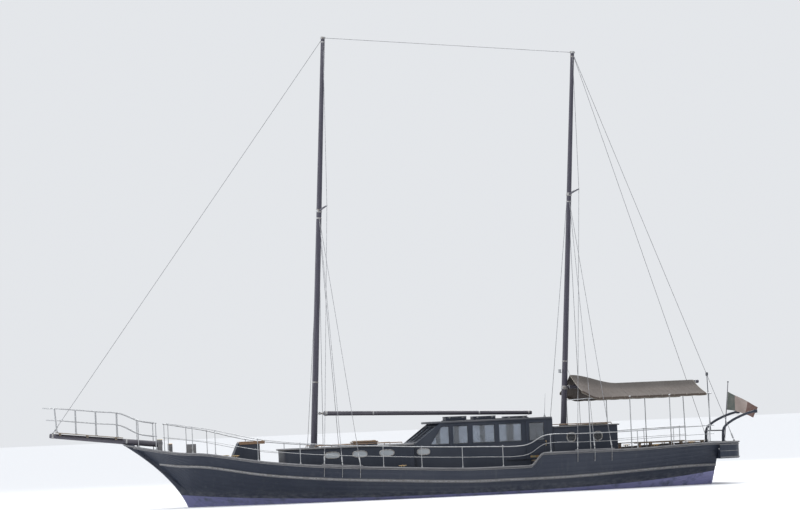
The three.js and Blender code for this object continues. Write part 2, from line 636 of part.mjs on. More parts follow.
add("wheelhouse_aft", aftWall, housePaint);
const roofPlan = [
  [house.aftX, house.half + 60],
  [500, house.half + 60],
  [820, house.half - 250],
  [900, 0],
  [820, -house.half + 250],
  [500, -house.half - 60],
  [house.aftX, -house.half - 60],
];
add("wheelhouse_roof", slab(roofPlan, [house.roofTop - house.roofThick, house.roofTop], 12), housePaint);

// Flat lockers in a row on the roof, on two battens
const lockerZ = house.roofTop + seam;
const lockerRow = [
  { x: [-2950, -2100], top: 2850 },
  { x: [-1750, -900], top: 2905 },
  { x: [-650, 150], top: 2935 },
];
const lockers = lockerRow.map(({ x, top }) => box(x, [-420, 420], [lockerZ + 5, top]));
const battens = [-300, 300].map((y) => box([-3000, 200], [y - 30, y + 30], [lockerZ, lockerZ + 25]));
add("roof_lockers", join(...lockers, ...battens), housePaint);
const whip = { x: -3450, y: 1200, lean: 60, top: 3650 };
const whipAt = (lean, z) => [whip.x - lean, whip.y, z];
const whipFoot = bar(whipAt(0, lockerZ), whipAt(0, lockerZ + 90), 32, 24, 8);
const whipRod = bar(whipAt(0, lockerZ + 60), whipAt(whip.lean, whip.top), 9, 6, 6);
add("antenna", join(whipFoot, whipRod), greyPlastic);

// Inside the wheelhouse
const consoleOutline = [...foot(150, 620), [760, 1700], [560, 1830], [200, 1700]];
add("helm_console", plate(consoleOutline, [150, 1250]), housePaint);
const helmY = 700;
const seatPost = bar([-680, helmY, deckUnder(-680) + 2 * seam], [-680, helmY, 1340], 60, 60, 8);
const seatPan = box([-900, -450], [450, 950], [1300, 1380]);
const seatBack = box([-960, -880], [450, 950], [1340, 1850]);
add("helm_seat", join(seatPan, seatPost, seatBack), cloth);
const wheelRim = new THREE.TorusGeometry(300, 18, 8, 24).rotateY(Math.PI / 2);
const spokes = [0, 1, 2].map((k) => bar([0, -350, 0], [0, 350, 0], 13, 13, 6).rotateX((k * Math.PI) / 3));
const wheelHub = bar([-35, 0, 0], [72, 0, 0], 40, 40, 12);
const wheelShaft = bar([0, 0, 0], [120.6, 0, 0], 25, 25, 12);
const wheel = add("helm_wheel", join(wheelRim, wheelHub, wheelShaft, ...spokes), teak);
wheel.position.set(70, helmY, 1560);

// Aft deckhouse under the mizzen mast
const aftHouseTop = aftHouse.top - 40;
const aftHouseFore = aftHouse.foreX - 20;
const aftHouseOutline = [
  ...foot(aftHouse.aftX, aftHouseFore),
  [aftHouseFore, aftHouseTop],
  [aftHouse.aftX, aftHouseTop],
];
const aftWalls = plate(aftHouseOutline, [-aftHouse.half, aftHouse.half]);
const aftEaves = [-aftHouse.half - 50, aftHouse.half + 50];
const aftRoof = box([aftHouse.aftX - 60, aftHouseFore + 5], aftEaves, [aftHouseTop - 5, aftHouse.top]);
add("aft_deckhouse", join(aftWalls, aftRoof), housePaint);

// Bare pole masts, raked aft, each with a foot collar, one pair of spreaders and a cap
const mastPoint = (foot, spec, up) => [foot.x - spec.rake * up, 0, foot.z + up];
const mastRadius = (spec, up) => spec.foot + ((spec.head - spec.foot) * up) / spec.length;
const mastSpace = (foot, spec, grown) => {
  const [low, high] = [mastPoint(foot, spec, -200), mastPoint(foot, spec, spec.length)];
  return bar(low, high, mastRadius(spec, -200) + grown, spec.head + grown, 12);
};
const mastSolid = (foot, spec) => {
  const spread = spec.spreader;
  const arms = [-1, 1].map((sign) => {
    const [x, , z] = mastPoint(foot, spec, spread);
    return bar([x, 0, z], [x - 160, sign * 1120, z + 110], 42, 26, 8);
  });
  const ring = (up, height, out) => {
    const radius = mastRadius(spec, up) + out;
    return bar(mastPoint(foot, spec, up), mastPoint(foot, spec, up + height), radius, radius, 12);
  };
  const rings = [ring(0, 90, 60), ring(spread - 60, 120, 14), ring(spec.length - 60, 90, 22)];
  const under = box([foot.x - 800, foot.x + 800], [-800, 800], [foot.z - 500, foot.z + seam]);
  return cut(join(mastSpace(foot, spec, 0), ...rings, ...arms), under);
};
const lean = Math.atan(foreSpar.rake);
const heelUp = boomSize.heelZ - foreStep.z;
const heelX = mastPoint(foreStep, foreSpar, heelUp)[0] - boomSize.gooseneck;
const atGooseneck = (geometry) => geometry.rotateY(-lean).translate(heelX, 0, boomSize.heelZ);
const cheekPlates = [-48, 36].map((z) => atGooseneck(box([-45, 150], [-45, 45], [z, z + 12])));
const boomBore = boomSize.pin + bearing;
const pinHole = atGooseneck(bar([0, 0, -100], [0, 0, 100], boomBore, boomBore, round));
add("foremast", cut(mastSolid(foreStep, foreSpar).add(join(...cheekPlates)), pinHole), spar);
const lanternAt = mastPoint(mizzenStep, mizzenSpar, 2000);
const lantern = bar(lanternAt, mastPoint(mizzenStep, mizzenSpar, 2130), 60, 60, 8);
const bracket = box([-120, 190], [-30, 30], [0, 40]).translate(...lanternAt);
lantern.translate(190, 0, 0);
add("mizzenmast", mastSolid(mizzenStep, mizzenSpar).add(join(lantern, bracket)), spar);

// Main boom, slung from its gooseneck and stowed along the centreline over the wheelhouse
const boomDrop = boomSize.endZ - boomSize.heelZ;
const boomEye = bar([0, 0, -28], [0, 0, 28], 52, 52, 12).rotateY(-lean);
const boomPin = bar([0, 0, -58], [0, 0, 58], boomSize.pin, boomSize.pin, round).rotateY(-lean);
const boomNeck = bar([0, 0, 0], [-200, 0, -8], 27, 45, 8);
const boomPole = bar([-140, 0, -5], [-boomSize.length, 0, boomDrop], boomSize.radius, 72, 12);
const boomBail = bar([20 - boomSize.length, 0, boomDrop], [-40 - boomSize.length, 0, boomDrop], 84, 84, 12);
const mainBoom = add("main_boom", join(boomEye, boomPin, boomNeck, boomPole, boomBail), spar);
mainBoom.position.set(heelX, 0, boomSize.heelZ);

// Awning in two slopes over the fixed mizzen boom, its fore end hoisted, with a frame of tube under its edges
const ridgeZ = (x) => ridge.aftZ + (ridge.foreZ - ridge.aftZ) * blend(ridge.lowX, ridge.foreX, x);
const awningRing = (x) => {
  const top = ridgeZ(x);
  const sagged = (top + awning.edgeZ) / 2 - awning.sag;
  const port = [[x, awning.half, awning.edgeZ], [x, awning.half / 2, sagged]];
  const upper = [...port, [x, 0, top], ...mirrored(port, -1).reverse()];
  return [...upper, ...upper.map(([, y, z]) => [x, y, z - awning.cloth]).reverse()];
};
const awningXs = [ridge.foreX, -5150, -5600, -6050, ridge.lowX, -7900, ridge.aftX];
add("awning", loft(awningXs.map(awningRing)), cloth);
const mizzenPole = { heel: 70, tip: 62, tipX: -9620 };
const clothFall = ((ridge.aftZ - awning.edgeZ) / 2 + awning.sag) / (awning.half / 2);
const underRidge = (radius) => ridge.aftZ - awning.cloth - 3 * seam - radius * Math.hypot(1, clothFall);
const mizzenHeelX = mastPoint(mizzenStep, mizzenSpar, underRidge(mizzenPole.heel) - mizzenStep.z)[0] - 60;
const mizzenBoom = bar(
  [mizzenHeelX, 0, underRidge(mizzenPole.heel)],
  [mizzenPole.tipX, 0, underRidge(mizzenPole.tip)],
  mizzenPole.heel, mizzenPole.tip, 12,
);
add("mizzen_boom", cut(solid(mizzenBoom), mastSpace(mizzenStep, mizzenSpar, seam)), spar);
const frame = { y: 2180, z: 3380, tube: 19, xs: [-4950, -6500, -8000, -9500] };
const frameAt = (x, sign) => [x, sign * frame.y, frame.z];
const frameRails = [-1, 1].map((sign) => bar(frameAt(-4760, sign), frameAt(-9600, sign), frame.tube));
const framePosts = frame.xs.flatMap((x) => {
  const footY = Math.min(frame.y, halfBreadth(x, deckUnder(x)) - bulwark.thickness - 40);
  const footZ = deckUnder(x) + (frame.tube * (frame.y - footY)) / (frame.z - deckUnder(x)) + 2 * seam;
  return [-1, 1].map((sign) => bar([x, sign * footY, footZ], frameAt(x, sign), frame.tube));
});
const frameTies = [frame.xs[0], frame.xs[3]].map((x) => bar(frameAt(x, -1), frameAt(x, 1), frame.tube));
add("awning_frame", join(...frameRails, ...framePosts, ...frameTies), steel);

// Standing rigging: forestay, the stay between the mastheads with the backstays, and the shrouds
const foreHead = mastPoint(foreStep, foreSpar, foreSpar.length - 20);
const mizzenHead = mastPoint(mizzenStep, mizzenSpar, mizzenSpar.length - 20);
const capClear = 24;
const foreSpace = mastSpace(foreStep, foreSpar, capClear);
const mizzenSpace = mastSpace(mizzenStep, mizzenSpar, capClear);
const stayFoot = [14710, 0, spritZ(14740) + 86];
const stayEye = box([14680, 14740], [-18, 18], [stayFoot[2], stayFoot[2] + 60]);
const stayWire = bar(foreHead, [stayFoot[0], 0, stayFoot[2] + 40], wire, wire, 6);
add("forestay", cut(join(stayWire, stayEye), foreSpace), steel);
const backFeet = [-1, 1].map((sign) => [-10380, sign * 2165, taffTop + 14]);
const backPads = backFeet.map(([x, y, z]) => box([x - 40, x + 40], [y - 40, y + 40], [taffTop + seam, z]));
const backstays = backFeet.map((point) => bar(mizzenHead, point, wire, wire, 6));
const headCollar = bar(mizzenHead, [mizzenHead[0], 0, mizzenHead[2] - 34], 112, 112, 12);
const headRing = cut(solid(headCollar), mizzenSpace);
const runs = join(bar(foreHead, mizzenHead, wire, wire, 6), ...backstays, ...backPads);
add("head_stays", largest(cut(runs, foreSpace, mizzenSpace).add(headRing)), steel);
const rigs = [
  { name: "fore", mastFoot: foreStep, spec: foreSpar, xs: [5050, 4400, 3750], space: foreSpace },
  { name: "mizzen", mastFoot: mizzenStep, spec: mizzenSpar, xs: [-4300, -4950, -5600], space: mizzenSpace },
];
for (const { name, mastFoot, spec, xs, space } of rigs) {
  const railY = (x) => halfBreadth(x, railZ(x));
  const feet = xs.map((x) => [x, railY(x) + 20, railUnder(x) + 20]);
  const [aftX, foreX] = [xs[2] - 90, xs[0] + 90];
  const channelXs = [aftX, ...hullXs.filter((x) => x > aftX && x < foreX), foreX];
  const channel = loft(
    channelXs.map((x) => {
      const at = (offset, height) => [x, railY(x) + offset, railUnder(x) + height];
      return [at(-20, 0), at(60, 0), at(60, 40), at(-20, 40)];
    }),
  );
  const [spreadX, , spreadZ] = mastPoint(mastFoot, spec, spec.spreader);
  const tip = [spreadX - 160, 1148, spreadZ + 120];
  const hounds = mastPoint(mastFoot, spec, spec.spreader - 250);
  const mastHead = mastPoint(mastFoot, spec, spec.length - 160);
  const wires = [
    bar(feet[0], tip, wire, wire, 6),
    bar(tip, mastHead, wire, wire, 6),
    bar(feet[1], hounds, wire, wire, 6),
    bar(feet[2], hounds, wire, wire, 6),
    ...feet.map(([x, y, z]) => bar([x, y, z], [x, y - 30, z + 260], 22, 18, 6)),
    bar([tip[0], tip[1], tip[2] - 14], [tip[0], tip[1], tip[2] + 14], 16, 16, 6),
  ];
  const shrouds = largest(cut(join(channel, ...wires), space));
  add(`shrouds_${name}_port`, shrouds, steel);
  add(`shrouds_${name}_starboard`, shrouds.mirror([0, 1, 0]), steel);
}

// Guard rails on the cap rails, higher towards the bow
const guardHeight = (x) => 620 + 130 * blend(-3200, -2000, x) + 300 * blend(6500, 11800, x);
const guardPost = 14;
const guardXs = [10550, 9700, 8900, 7400, 5900, 2900, 1500, 0, -1500, -3300, -6600, -8000, -9350];
const guardPath = [
  10600, 9800, 8900, 7400, 5900, 4400, 2900, 1200, -700, -2300, -3150, -4500, -6000, -8000, -9600,
];
for (const [side, sign] of sides) {
  const rail = (part) => guardPath.map((x) => [x, sign * guardY(x), railZ(x) + part * guardHeight(x)]);
  const posts = guardXs.map((x) => {
    const y = sign * guardY(x);
    return bar([x, y, onRail(x, guardPost)], [x, y, railZ(x) + guardHeight(x)], guardPost, guardPost, 6);
  });
  const railing = join(tube(rail(1), 16, 26, 6), tube(rail(0.5), 9, 26, 4), ...posts);
  add(`guard_rail_${side}`, railing, steel);
}

// Pair of davits on the gallery, joined by a tie bar with a light pole
const davitY = 1400;
const davitPaths = [-1, 1].map((sign) =>
  tube(
    [
      [-10150, sign * davitY, galleryFloor + seam],
      [-10150, sign * davitY, 1750],
      [-10210, sign * davitY, 2080],
      [-10520, sign * davitY, 2330],
      [-11000, sign * davitY, 2540],
      [-11400, sign * davitY, 2650],
    ],
    48, 16,
  ),
);
const davitTips = [-1, 1].map((sign) => upright([-11500, -11360], sign, davitY, 50, [2580, 2720]));
const davitTie = bar([-10165, -davitY, 1980], [-10165, davitY, 1980], 24);
const pole = bar([-10165, -650, 1980], [-10120, -650, 4080], 22, 14);
const poleLamp = bar([-10120, -650, 4060], [-10120, -650, 4200], 48, 48);
add("davits", join(...davitPaths, ...davitTips, davitTie, pole, poleLamp), housePaint);

// Flagstaff raked over the taffrail, with its flag
const staffX = (z) => -10535 - (z - 1570) * 0.107;
const staffPole = bar([staffX(1586), 0, 1586], [staffX(3770), 0, 3770], 21, 13);
const staffPad = box([-10585, -10485], [-45, 45], [taffTop + seam, 1600]);
add("flagstaff", join(staffPole, staffPad), spar);
const hoist = { top: 3420, bottom: 2740 };
const flagOutline = [
  [staffX(hoist.top) - 15.2, hoist.top],
  [-11000, 3270],
  [-11500, 3010],
  [-11880, 2780],
  [-11700, 2400],
  [-11300, 2560],
  [-10950, 2680],
  [staffX(hoist.bottom) - 18, hoist.bottom],
];
add("flag", plate(flagOutline, [-8, 8]), flagCloth);

// Slatted benches along the quarterdeck
for (const [side, sign] of sides) {
  const seat = box([-9350, -6700], pool(sign, 1560, 2020), [1620, 1660]);
  const legs = [-9250, -8060, -6860].map((x) =>
    plate([...foot(x - 30, x + 30), [x + 30, 1630], [x - 30, 1630]], pool(sign, 1600, 1980)),
  );
  add(`bench_${side}`, join(seat, ...legs), teak);
}

export default boat;
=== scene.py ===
"""Looks of the two-masted wooden whale watching boat.

In metres: +X forward, +Y to port, +Z up, and the waterline at z = 0.
"""
import math
import bpy
import numpy as np
from mathutils import Matrix


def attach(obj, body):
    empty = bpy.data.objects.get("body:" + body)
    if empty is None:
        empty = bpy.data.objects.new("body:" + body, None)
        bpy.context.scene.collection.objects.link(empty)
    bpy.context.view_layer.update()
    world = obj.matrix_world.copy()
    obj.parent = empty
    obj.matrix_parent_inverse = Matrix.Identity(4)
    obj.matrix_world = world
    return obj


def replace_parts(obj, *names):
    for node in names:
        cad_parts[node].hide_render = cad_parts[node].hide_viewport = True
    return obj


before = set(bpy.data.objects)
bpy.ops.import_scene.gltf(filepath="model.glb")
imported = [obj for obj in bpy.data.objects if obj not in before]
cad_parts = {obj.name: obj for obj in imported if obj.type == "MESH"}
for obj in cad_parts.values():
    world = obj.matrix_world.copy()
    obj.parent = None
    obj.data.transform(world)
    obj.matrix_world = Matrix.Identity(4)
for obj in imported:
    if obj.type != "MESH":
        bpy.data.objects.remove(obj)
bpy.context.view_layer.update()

scene = bpy.context.scene
BOAT = "boat"

# Sizes of the hull, as the boat's drawings give them
STEM = {"foot": 9.77, "top": 2.42, "lean": 1.02, "sweep": 1.32}
TRANSOM = -9.8
GALLERY = -10.6
GALLERY_HALF = 2.3
GALLERY_CORNER = 0.42
PLANK_WALL = 0.06
RAIL = {"height": 0.06, "out": 0.05, "inward": 0.04}
DECK_BELOW_RAIL = 0.28
QUARTER_AT = -2.8
QUARTER_RAIL = 1.48
QUARTER_RISE = {"by": 0.09, "from": -6.0, "to": -9.5}
TAFFRAIL_TOP = 1.57
RAIL_STEP = (-2.5, -3.05)
KEEL_HALF = 0.11
# Columns: x, underside of the planking, half breadth at the waterline, half breadth at the rail
STATIONS = np.array([
    [-9.8, -0.06, 0.7, 2.3], [-9.0, -0.42, 1.22, 2.44], [-7.5, -0.86, 1.8, 2.67], [-5.0, -1.23, 2.36, 2.92],
    [-2.5, -1.34, 2.64, 3.03], [0.0, -1.35, 2.7, 3.05], [2.5, -1.32, 2.5, 3.0], [5.0, -1.23, 1.9, 2.83],
    [7.0, -1.08, 1.15, 2.42], [8.5, -0.85, 0.5, 1.9], [9.3, -0.52, 0.17, 1.59], [9.77, 0.0, 0.0, 1.39],
    [10.4, 0.0, 0.0, 1.06], [11.0, 0.0, 0.0, 0.73], [11.5, 0.0, 0.0, 0.44], [12.11, 0.0, 0.0, 0.09],
])
# Columns: x, top of the main cap rail
SHEER = np.array([
    [-9.8, 1.0], [-2.1, 1.03], [-0.2, 1.04], [2.08, 1.16], [4.8, 1.34],
    [7.1, 1.59], [9.18, 1.96], [10.36, 2.07], [12.11, 2.42],
])


def along(table, column, x):
    """Cubic through a table's rows: Hermite pieces whose slopes are the chords between the two neighbours."""
    x = np.asarray(x, float)
    xs, ys = table[:, 0], table[:, column]
    ahead = np.minimum(np.arange(len(xs)) + 1, len(xs) - 1)
    behind = np.maximum(np.arange(len(xs)) - 1, 0)
    slopes = (ys[ahead] - ys[behind]) / (xs[ahead] - xs[behind])
    i = np.clip(np.searchsorted(xs, x, side="right") - 1, 0, len(xs) - 2)
    width = xs[i + 1] - xs[i]
    t = np.clip((x - xs[i]) / width, 0, 1)
    start = ys[i] * (1 + 2 * t) * (1 - t) ** 2 + slopes[i] * width * t * (1 - t) ** 2
    end = ys[i + 1] * t * t * (3 - 2 * t) - slopes[i + 1] * width * t * t * (1 - t)
    return start + end


def ease(a, b, x):
    """Smooth step from 0 at a to 1 at b: t squared times 3 minus 2t."""
    t = np.clip((np.asarray(x, float) - a) / (b - a), 0, 1)
    return t * t * (3 - 2 * t)


def stem_z(x):
    """Height of the stem's face at x, which is foot + lean s + sweep s squared, s being height over top."""
    beyond = np.maximum(np.asarray(x, float) - STEM["foot"], 0)
    root = np.sqrt(STEM["lean"] ** 2 + 4 * STEM["sweep"] * beyond)
    return STEM["top"] * (root - STEM["lean"]) / (2 * STEM["sweep"])


def bottom_z(x):
    """Underside of the planking: the table up to the stem's foot, then the stem's face."""
    return np.where(np.asarray(x, float) > STEM["foot"], stem_z(x), along(STATIONS, 1, x))


def quarter_z(x):
    """Top of the quarterdeck's rail: level, then a smooth step up towards the stern."""
    return QUARTER_RAIL + QUARTER_RISE["by"] * ease(QUARTER_RISE["from"], QUARTER_RISE["to"], x)


def rail_z(x):
    """Top of the cap rail: the sheer, and a smooth step from it to the quarterdeck's rail."""
    up = ease(RAIL_STEP[0], RAIL_STEP[1], x)
    return along(SHEER, 1, x) * (1 - up) + quarter_z(x) * up


def deck_z(x):
    """Top of the deck planks: a fixed drop under the rails, with a step between main deck and quarterdeck."""
    x = np.asarray(x, float)
    return np.where(x > QUARTER_AT, along(SHEER, 1, x), quarter_z(x)) - DECK_BELOW_RAIL


def half_breadth(x, z):
    """Half breadth of the planking at x and height z, never under the keel's 60 mm.

    Above the water it is water + (rail - water) times (z over the rail's height) to the power of the flare.
    Under it, water (0.35 t + 0.65 sqrt(1 - (1 - t) squared)), t being 0 at the bottom and 1 at the surface.
    Past the stem's foot it is rail times s to the power of the flare, s being 0 at the face, 1 at the rail.
    """
    x, z = np.broadcast_arrays(np.asarray(x, float), np.asarray(z, float))
    low, top = bottom_z(x), rail_z(x)
    wide = np.maximum(along(STATIONS, 3, x), 0.06)
    water = np.maximum(along(STATIONS, 2, x), 0)
    flare = 0.65 + 0.8 * ease(1.0, 9.7, x) + 0.3 * ease(-4.0, -9.8, x)
    bow = wide * np.clip((z - low) / (top - low), 0, 2) ** flare
    above = water + (wide - water) * np.clip(z / top, 0, 2) ** flare
    t = np.clip((z - low) / np.maximum(-low, 1e-6), 0, 1)
    below = water * (0.35 * t + 0.65 * np.sqrt(1 - (1 - t) ** 2))
    return np.maximum(0.06, np.where(x > STEM["foot"], bow, np.where(z >= 0, above, below)))


def rail_y(x):
    """Half breadth of the planking at the cap rail's top."""
    return half_breadth(x, rail_z(x))


def at_rail(x):
    """Half breadth and height at the cap rail's top."""
    return rail_y(x), rail_z(x)


# Shapes, each a pair of points and faces


def skin(rings):
    """Closed shape over a grid of rings: quads between neighbouring rings and a face over each end."""
    rings = np.asarray(rings, float)
    rows, columns = rings.shape[:2]
    i, j = np.meshgrid(np.arange(rows - 1), np.arange(columns), indexing="ij")
    a = i * columns + j
    b = i * columns + (j + 1) % columns
    faces = np.stack([a, b, b + columns, a + columns], axis=-1).reshape(-1, 4).tolist()
    faces.append(list(range(columns))[::-1])
    faces.append(list(range((rows - 1) * columns, rows * columns)))
    points = rings.reshape(-1, 3)
    return points, turned_out(points, faces)


def turned_out(points, faces):
    """Same faces, turned so that the enclosed volume is positive."""
    volume = 0.0
    for face in faces:
        corners = points[face]
        fans = np.cross(corners[1:-1], corners[2:])
        volume += float((fans @ corners[0]).sum())
    return [face[::-1] for face in faces] if volume < 0 else faces


def ring_skin(rings):
    """Closed shape over a grid that closes both ways, as a picture frame does."""
    rings = np.asarray(rings, float)
    rows, columns = rings.shape[:2]
    i, j = np.meshgrid(np.arange(rows), np.arange(columns), indexing="ij")
    across = (j + 1) % columns
    after = (i + 1) % rows * columns
    quads = np.stack([i * columns + j, i * columns + across, after + across, after + j], axis=-1)
    points = rings.reshape(-1, 3)
    return points, turned_out(points, quads.reshape(-1, 4).tolist())


def circle(count):
    """Unit circle: rows of (cos a, sin a) at evenly spaced angles a."""
    angle = np.linspace(0, 2 * math.pi, count + 1)[:-1]
    return np.column_stack([np.cos(angle), np.sin(angle)])


def pipe(path, radius, sides=12, closed=False):
    """Tube: circles of the radius at each path point, in the plane across the path's direction there."""
    path = np.asarray(path, float)
    radius = np.broadcast_to(np.asarray(radius, float), len(path))
    ahead = np.roll(path, -1, 0) if closed else np.vstack([path[1:], path[-1:] * 2 - path[-2:-1]])
    behind = np.roll(path, 1, 0) if closed else np.vstack([path[:1] * 2 - path[1:2], path[:-1]])
    direction = ahead - behind
    direction /= np.linalg.norm(direction, axis=1, keepdims=True)
    spread = np.abs(direction).max(axis=0)
    reference = np.eye(3)[int(np.argmin(spread))]
    side = np.cross(direction, reference)
    side /= np.linalg.norm(side, axis=1, keepdims=True)
    up = np.cross(side, direction)
    cos, sin = circle(sides).T[..., None]
    around = cos * side[:, None] + sin * up[:, None]
    rings = path[:, None] + around * radius[:, None, None]
    return ring_skin(rings) if closed else skin(rings)


def tube_bend(points, radius, sides=14):
    """Tube along the smooth curve through the points."""
    return pipe(smooth_path(points), radius, sides)


def straight(a, b, radius, end=None, sides=12):
    """Round bar between two points, its radius going evenly from the first to the second."""
    return pipe([a, b], [radius, radius if end is None else end], sides)


def smooth_path(points, steps=8):
    """Catmull-Rom curve through the points, with the given steps in each span."""
    points = np.asarray(points, float)
    padded = np.vstack([2 * points[0] - points[1], points, 2 * points[-1] - points[-2]])
    t = (np.arange(steps) / steps)[:, None]
    spans = []
    for p, q, r, s in zip(padded, padded[1:], padded[2:], padded[3:]):
        bend = 2 * p - 5 * q + 4 * r - s
        twist = 3 * (q - r) + s - p
        spans.append(0.5 * (2 * q + (r - p) * t + bend * t ** 2 + twist * t ** 3))
    return np.vstack([*spans, points[-1:]])


def turned(profile, base, axis=(0, 0, 1), sides=24):
    """Turned piece: rows of (radius, height) carried round an axis that starts at the base."""
    axis = np.asarray(axis, float)
    axis = axis / np.linalg.norm(axis)
    reference = np.eye(3)[int(np.argmin(np.abs(axis)))]
    side = np.cross(axis, reference)
    side /= np.linalg.norm(side)
    up = np.cross(axis, side)
    cos, sin = circle(sides).T[..., None]
    around = cos * side + sin * up
    rows = np.asarray(profile, float)
    rings = np.asarray(base, float) + rows[:, 1, None, None] * axis + rows[:, 0, None, None] * around
    return skin(rings)


def block(low, high, bevel=0.01):
    """Box with its edges planed off: four rings of eight corners, the outer two drawn in by the bevel."""
    low, high = np.minimum(low, high).astype(float), np.maximum(low, high).astype(float)
    bevel = min(bevel, float((high - low).min()) * 0.45)
    rows = []
    for z, inset in ((low[2], bevel), (low[2] + bevel, 0), (high[2] - bevel, 0), (high[2], bevel)):
        x0, y0, x1, y1 = low[0] + inset, low[1] + inset, high[0] - inset, high[1] - inset
        rows.append([
            [x0 + bevel, y0, z], [x1 - bevel, y0, z], [x1, y0 + bevel, z], [x1, y1 - bevel, z],
            [x1 - bevel, y1, z], [x0 + bevel, y1, z], [x0, y1 - bevel, z], [x0, y0 + bevel, z],
        ])
    return skin(rows)


def at_height(plan, z):
    """A plan's points, all at one height or each at its own."""
    return np.column_stack([plan, np.full(len(plan), z)])


def band(centre, axis, radius, wide):
    """Flat ring with eased edges round a spar."""
    edge, inner = wide / 2, radius - 0.005
    profile = [(inner, -edge), (radius, 0.004 - edge), (radius, edge - 0.004), (inner, edge)]
    return turned(profile, centre, axis, 32)


def as_drawn(shape):
    """The shape where its sizes put it, to port."""
    return shape


def mirrored(shape):
    """The same shape to starboard: y times -1, and the faces turned round."""
    return shape[0] * np.array([1, -1, 1.0]), [face[::-1] for face in shape[1]]


def both(shapes):
    """The shapes and their mirror images."""
    return [*shapes, *[mirrored(shape) for shape in shapes]]


def each(side, shapes):
    """The shapes on one side of the boat."""
    return [side(shape) for shape in shapes]


SIDES = (("port", as_drawn), ("starboard", mirrored))


def piece(name, shapes, material, slot, body=BOAT, crease=35):
    """One object at the origin from a list of shapes, riding on a body, with sharp edges kept sharp."""
    points, faces, start = [], [], 0
    for vertices, polygons in shapes:
        points.append(vertices)
        faces.extend([[corner + start for corner in face] for face in polygons])
        start += len(vertices)
    mesh = bpy.data.meshes.new(name)
    mesh.from_pydata(np.vstack(points).tolist(), [], faces)
    mesh.materials.append(material)
    mesh.update()
    mesh.shade_smooth()
    mesh.set_sharp_from_angle(angle=math.radians(crease))
    made = bpy.data.objects.new(name, mesh)
    scene.collection.objects.link(made)
    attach(made, body)
    return made


# Camera, floor and light

# In pixels of the photograph: focal length, its own middle, and the middle and width of what the camera shows
PHOTO = {"focal": 910.0, "middle": (256.0, 320.6), "aim": (257.5, 278.5), "span": 209.0}
CAMERA = {"yaw": 8.0, "roll": 2.5, "distance": 130.0, "height": 2.63, "sees_x": 2.035}


def make_camera():
    """Camera on the photograph's bearing, turned by the aim's offset from the horizon point and rolled."""
    yaw, roll = math.radians(CAMERA["yaw"]), math.radians(CAMERA["roll"])
    away = np.array([math.sin(yaw), math.cos(yaw), 0.0])
    place = np.array([CAMERA["sees_x"], 0.0, CAMERA["height"]]) + away * CAMERA["distance"]
    level = np.array([-math.cos(yaw), math.sin(yaw), 0.0])
    across = PHOTO["aim"][0] - PHOTO["middle"][0]
    down = PHOTO["aim"][1] - PHOTO["middle"][1]
    right_px = across * math.cos(roll) - down * math.sin(roll)
    up_px = -across * math.sin(roll) - down * math.cos(roll)
    forward = -away * PHOTO["focal"] + level * right_px + np.array([0, 0, 1.0]) * up_px
    forward /= np.linalg.norm(forward)
    right = np.cross(forward, [0, 0, 1.0])
    right /= np.linalg.norm(right)
    up = np.cross(right, forward)
    tilted_right = right * math.cos(roll) - up * math.sin(roll)
    tilted_up = up * math.cos(roll) + right * math.sin(roll)
    data = bpy.data.cameras.new("camera")
    data.lens = data.sensor_width * PHOTO["focal"] / PHOTO["span"]
    data.clip_end = 6000.0
    camera = bpy.data.objects.new("camera", data)
    axes = np.eye(4)
    axes[:3, 0], axes[:3, 1], axes[:3, 2], axes[:3, 3] = tilted_right, tilted_up, -forward, place
    camera.matrix_world = Matrix(axes.tolist())
    scene.collection.objects.link(camera)
    scene.camera = camera


def make_floor_and_light():
    """A round pale floor at the waterline, a pale sky, three soft lamps and an even light from overhead."""
    bpy.ops.mesh.primitive_circle_add(vertices=96, radius=2500, fill_type="NGON", location=(0, 0, 0))
    floor = bpy.context.object
    floor.name = "floor"
    paper = bpy.data.materials.new("floor_paper")
    paper.use_nodes = True
    shader = paper.node_tree.nodes["Principled BSDF"]
    shader.inputs["Base Color"].default_value = (0.78, 0.79, 0.81, 1)
    shader.inputs["Roughness"].default_value = 0.9
    floor.data.materials.append(paper)
    world = bpy.data.worlds.new("sky")
    world.use_nodes = True
    sky = world.node_tree.nodes["Background"]
    sky.inputs["Color"].default_value = (0.80, 0.82, 0.85, 1)
    sky.inputs["Strength"].default_value = 0.97
    scene.world = world
    # Columns: name, place, width, watts, colour
    lamps = (
        ("key", (25, 34, 30), 26, 6500, (1.0, 0.98, 0.95)),
        ("back", (-18, -38, 34), 30, 15000, (1.0, 1.0, 1.0)),
        ("bow", (38, -6, 16), 22, 4500, (0.95, 0.97, 1.0)),
    )
    for name, place, size, watts, tint in lamps:
        data = bpy.data.lights.new(name, "AREA")
        data.shape = "DISK"
        data.size = size
        data.energy = watts
        data.color = tint
        lamp = bpy.data.objects.new(name, data)
        lamp.location = place
        aim = np.array([0, 0, 4.0]) - np.array(place)
        tilt = math.acos(-aim[2] / np.linalg.norm(aim))
        lamp.rotation_euler = (tilt, 0, math.atan2(aim[1], aim[0]) - math.pi / 2)
        scene.collection.objects.link(lamp)
    data = bpy.data.lights.new("overhead", "SUN")
    data.energy = 1.15
    data.angle = math.radians(40)
    lamp = bpy.data.objects.new("overhead", data)
    lamp.rotation_euler = (math.radians(8), 0, 0)
    scene.collection.objects.link(lamp)
    scene.view_settings.view_transform = "Standard"


make_camera()
make_floor_and_light()

# Materials


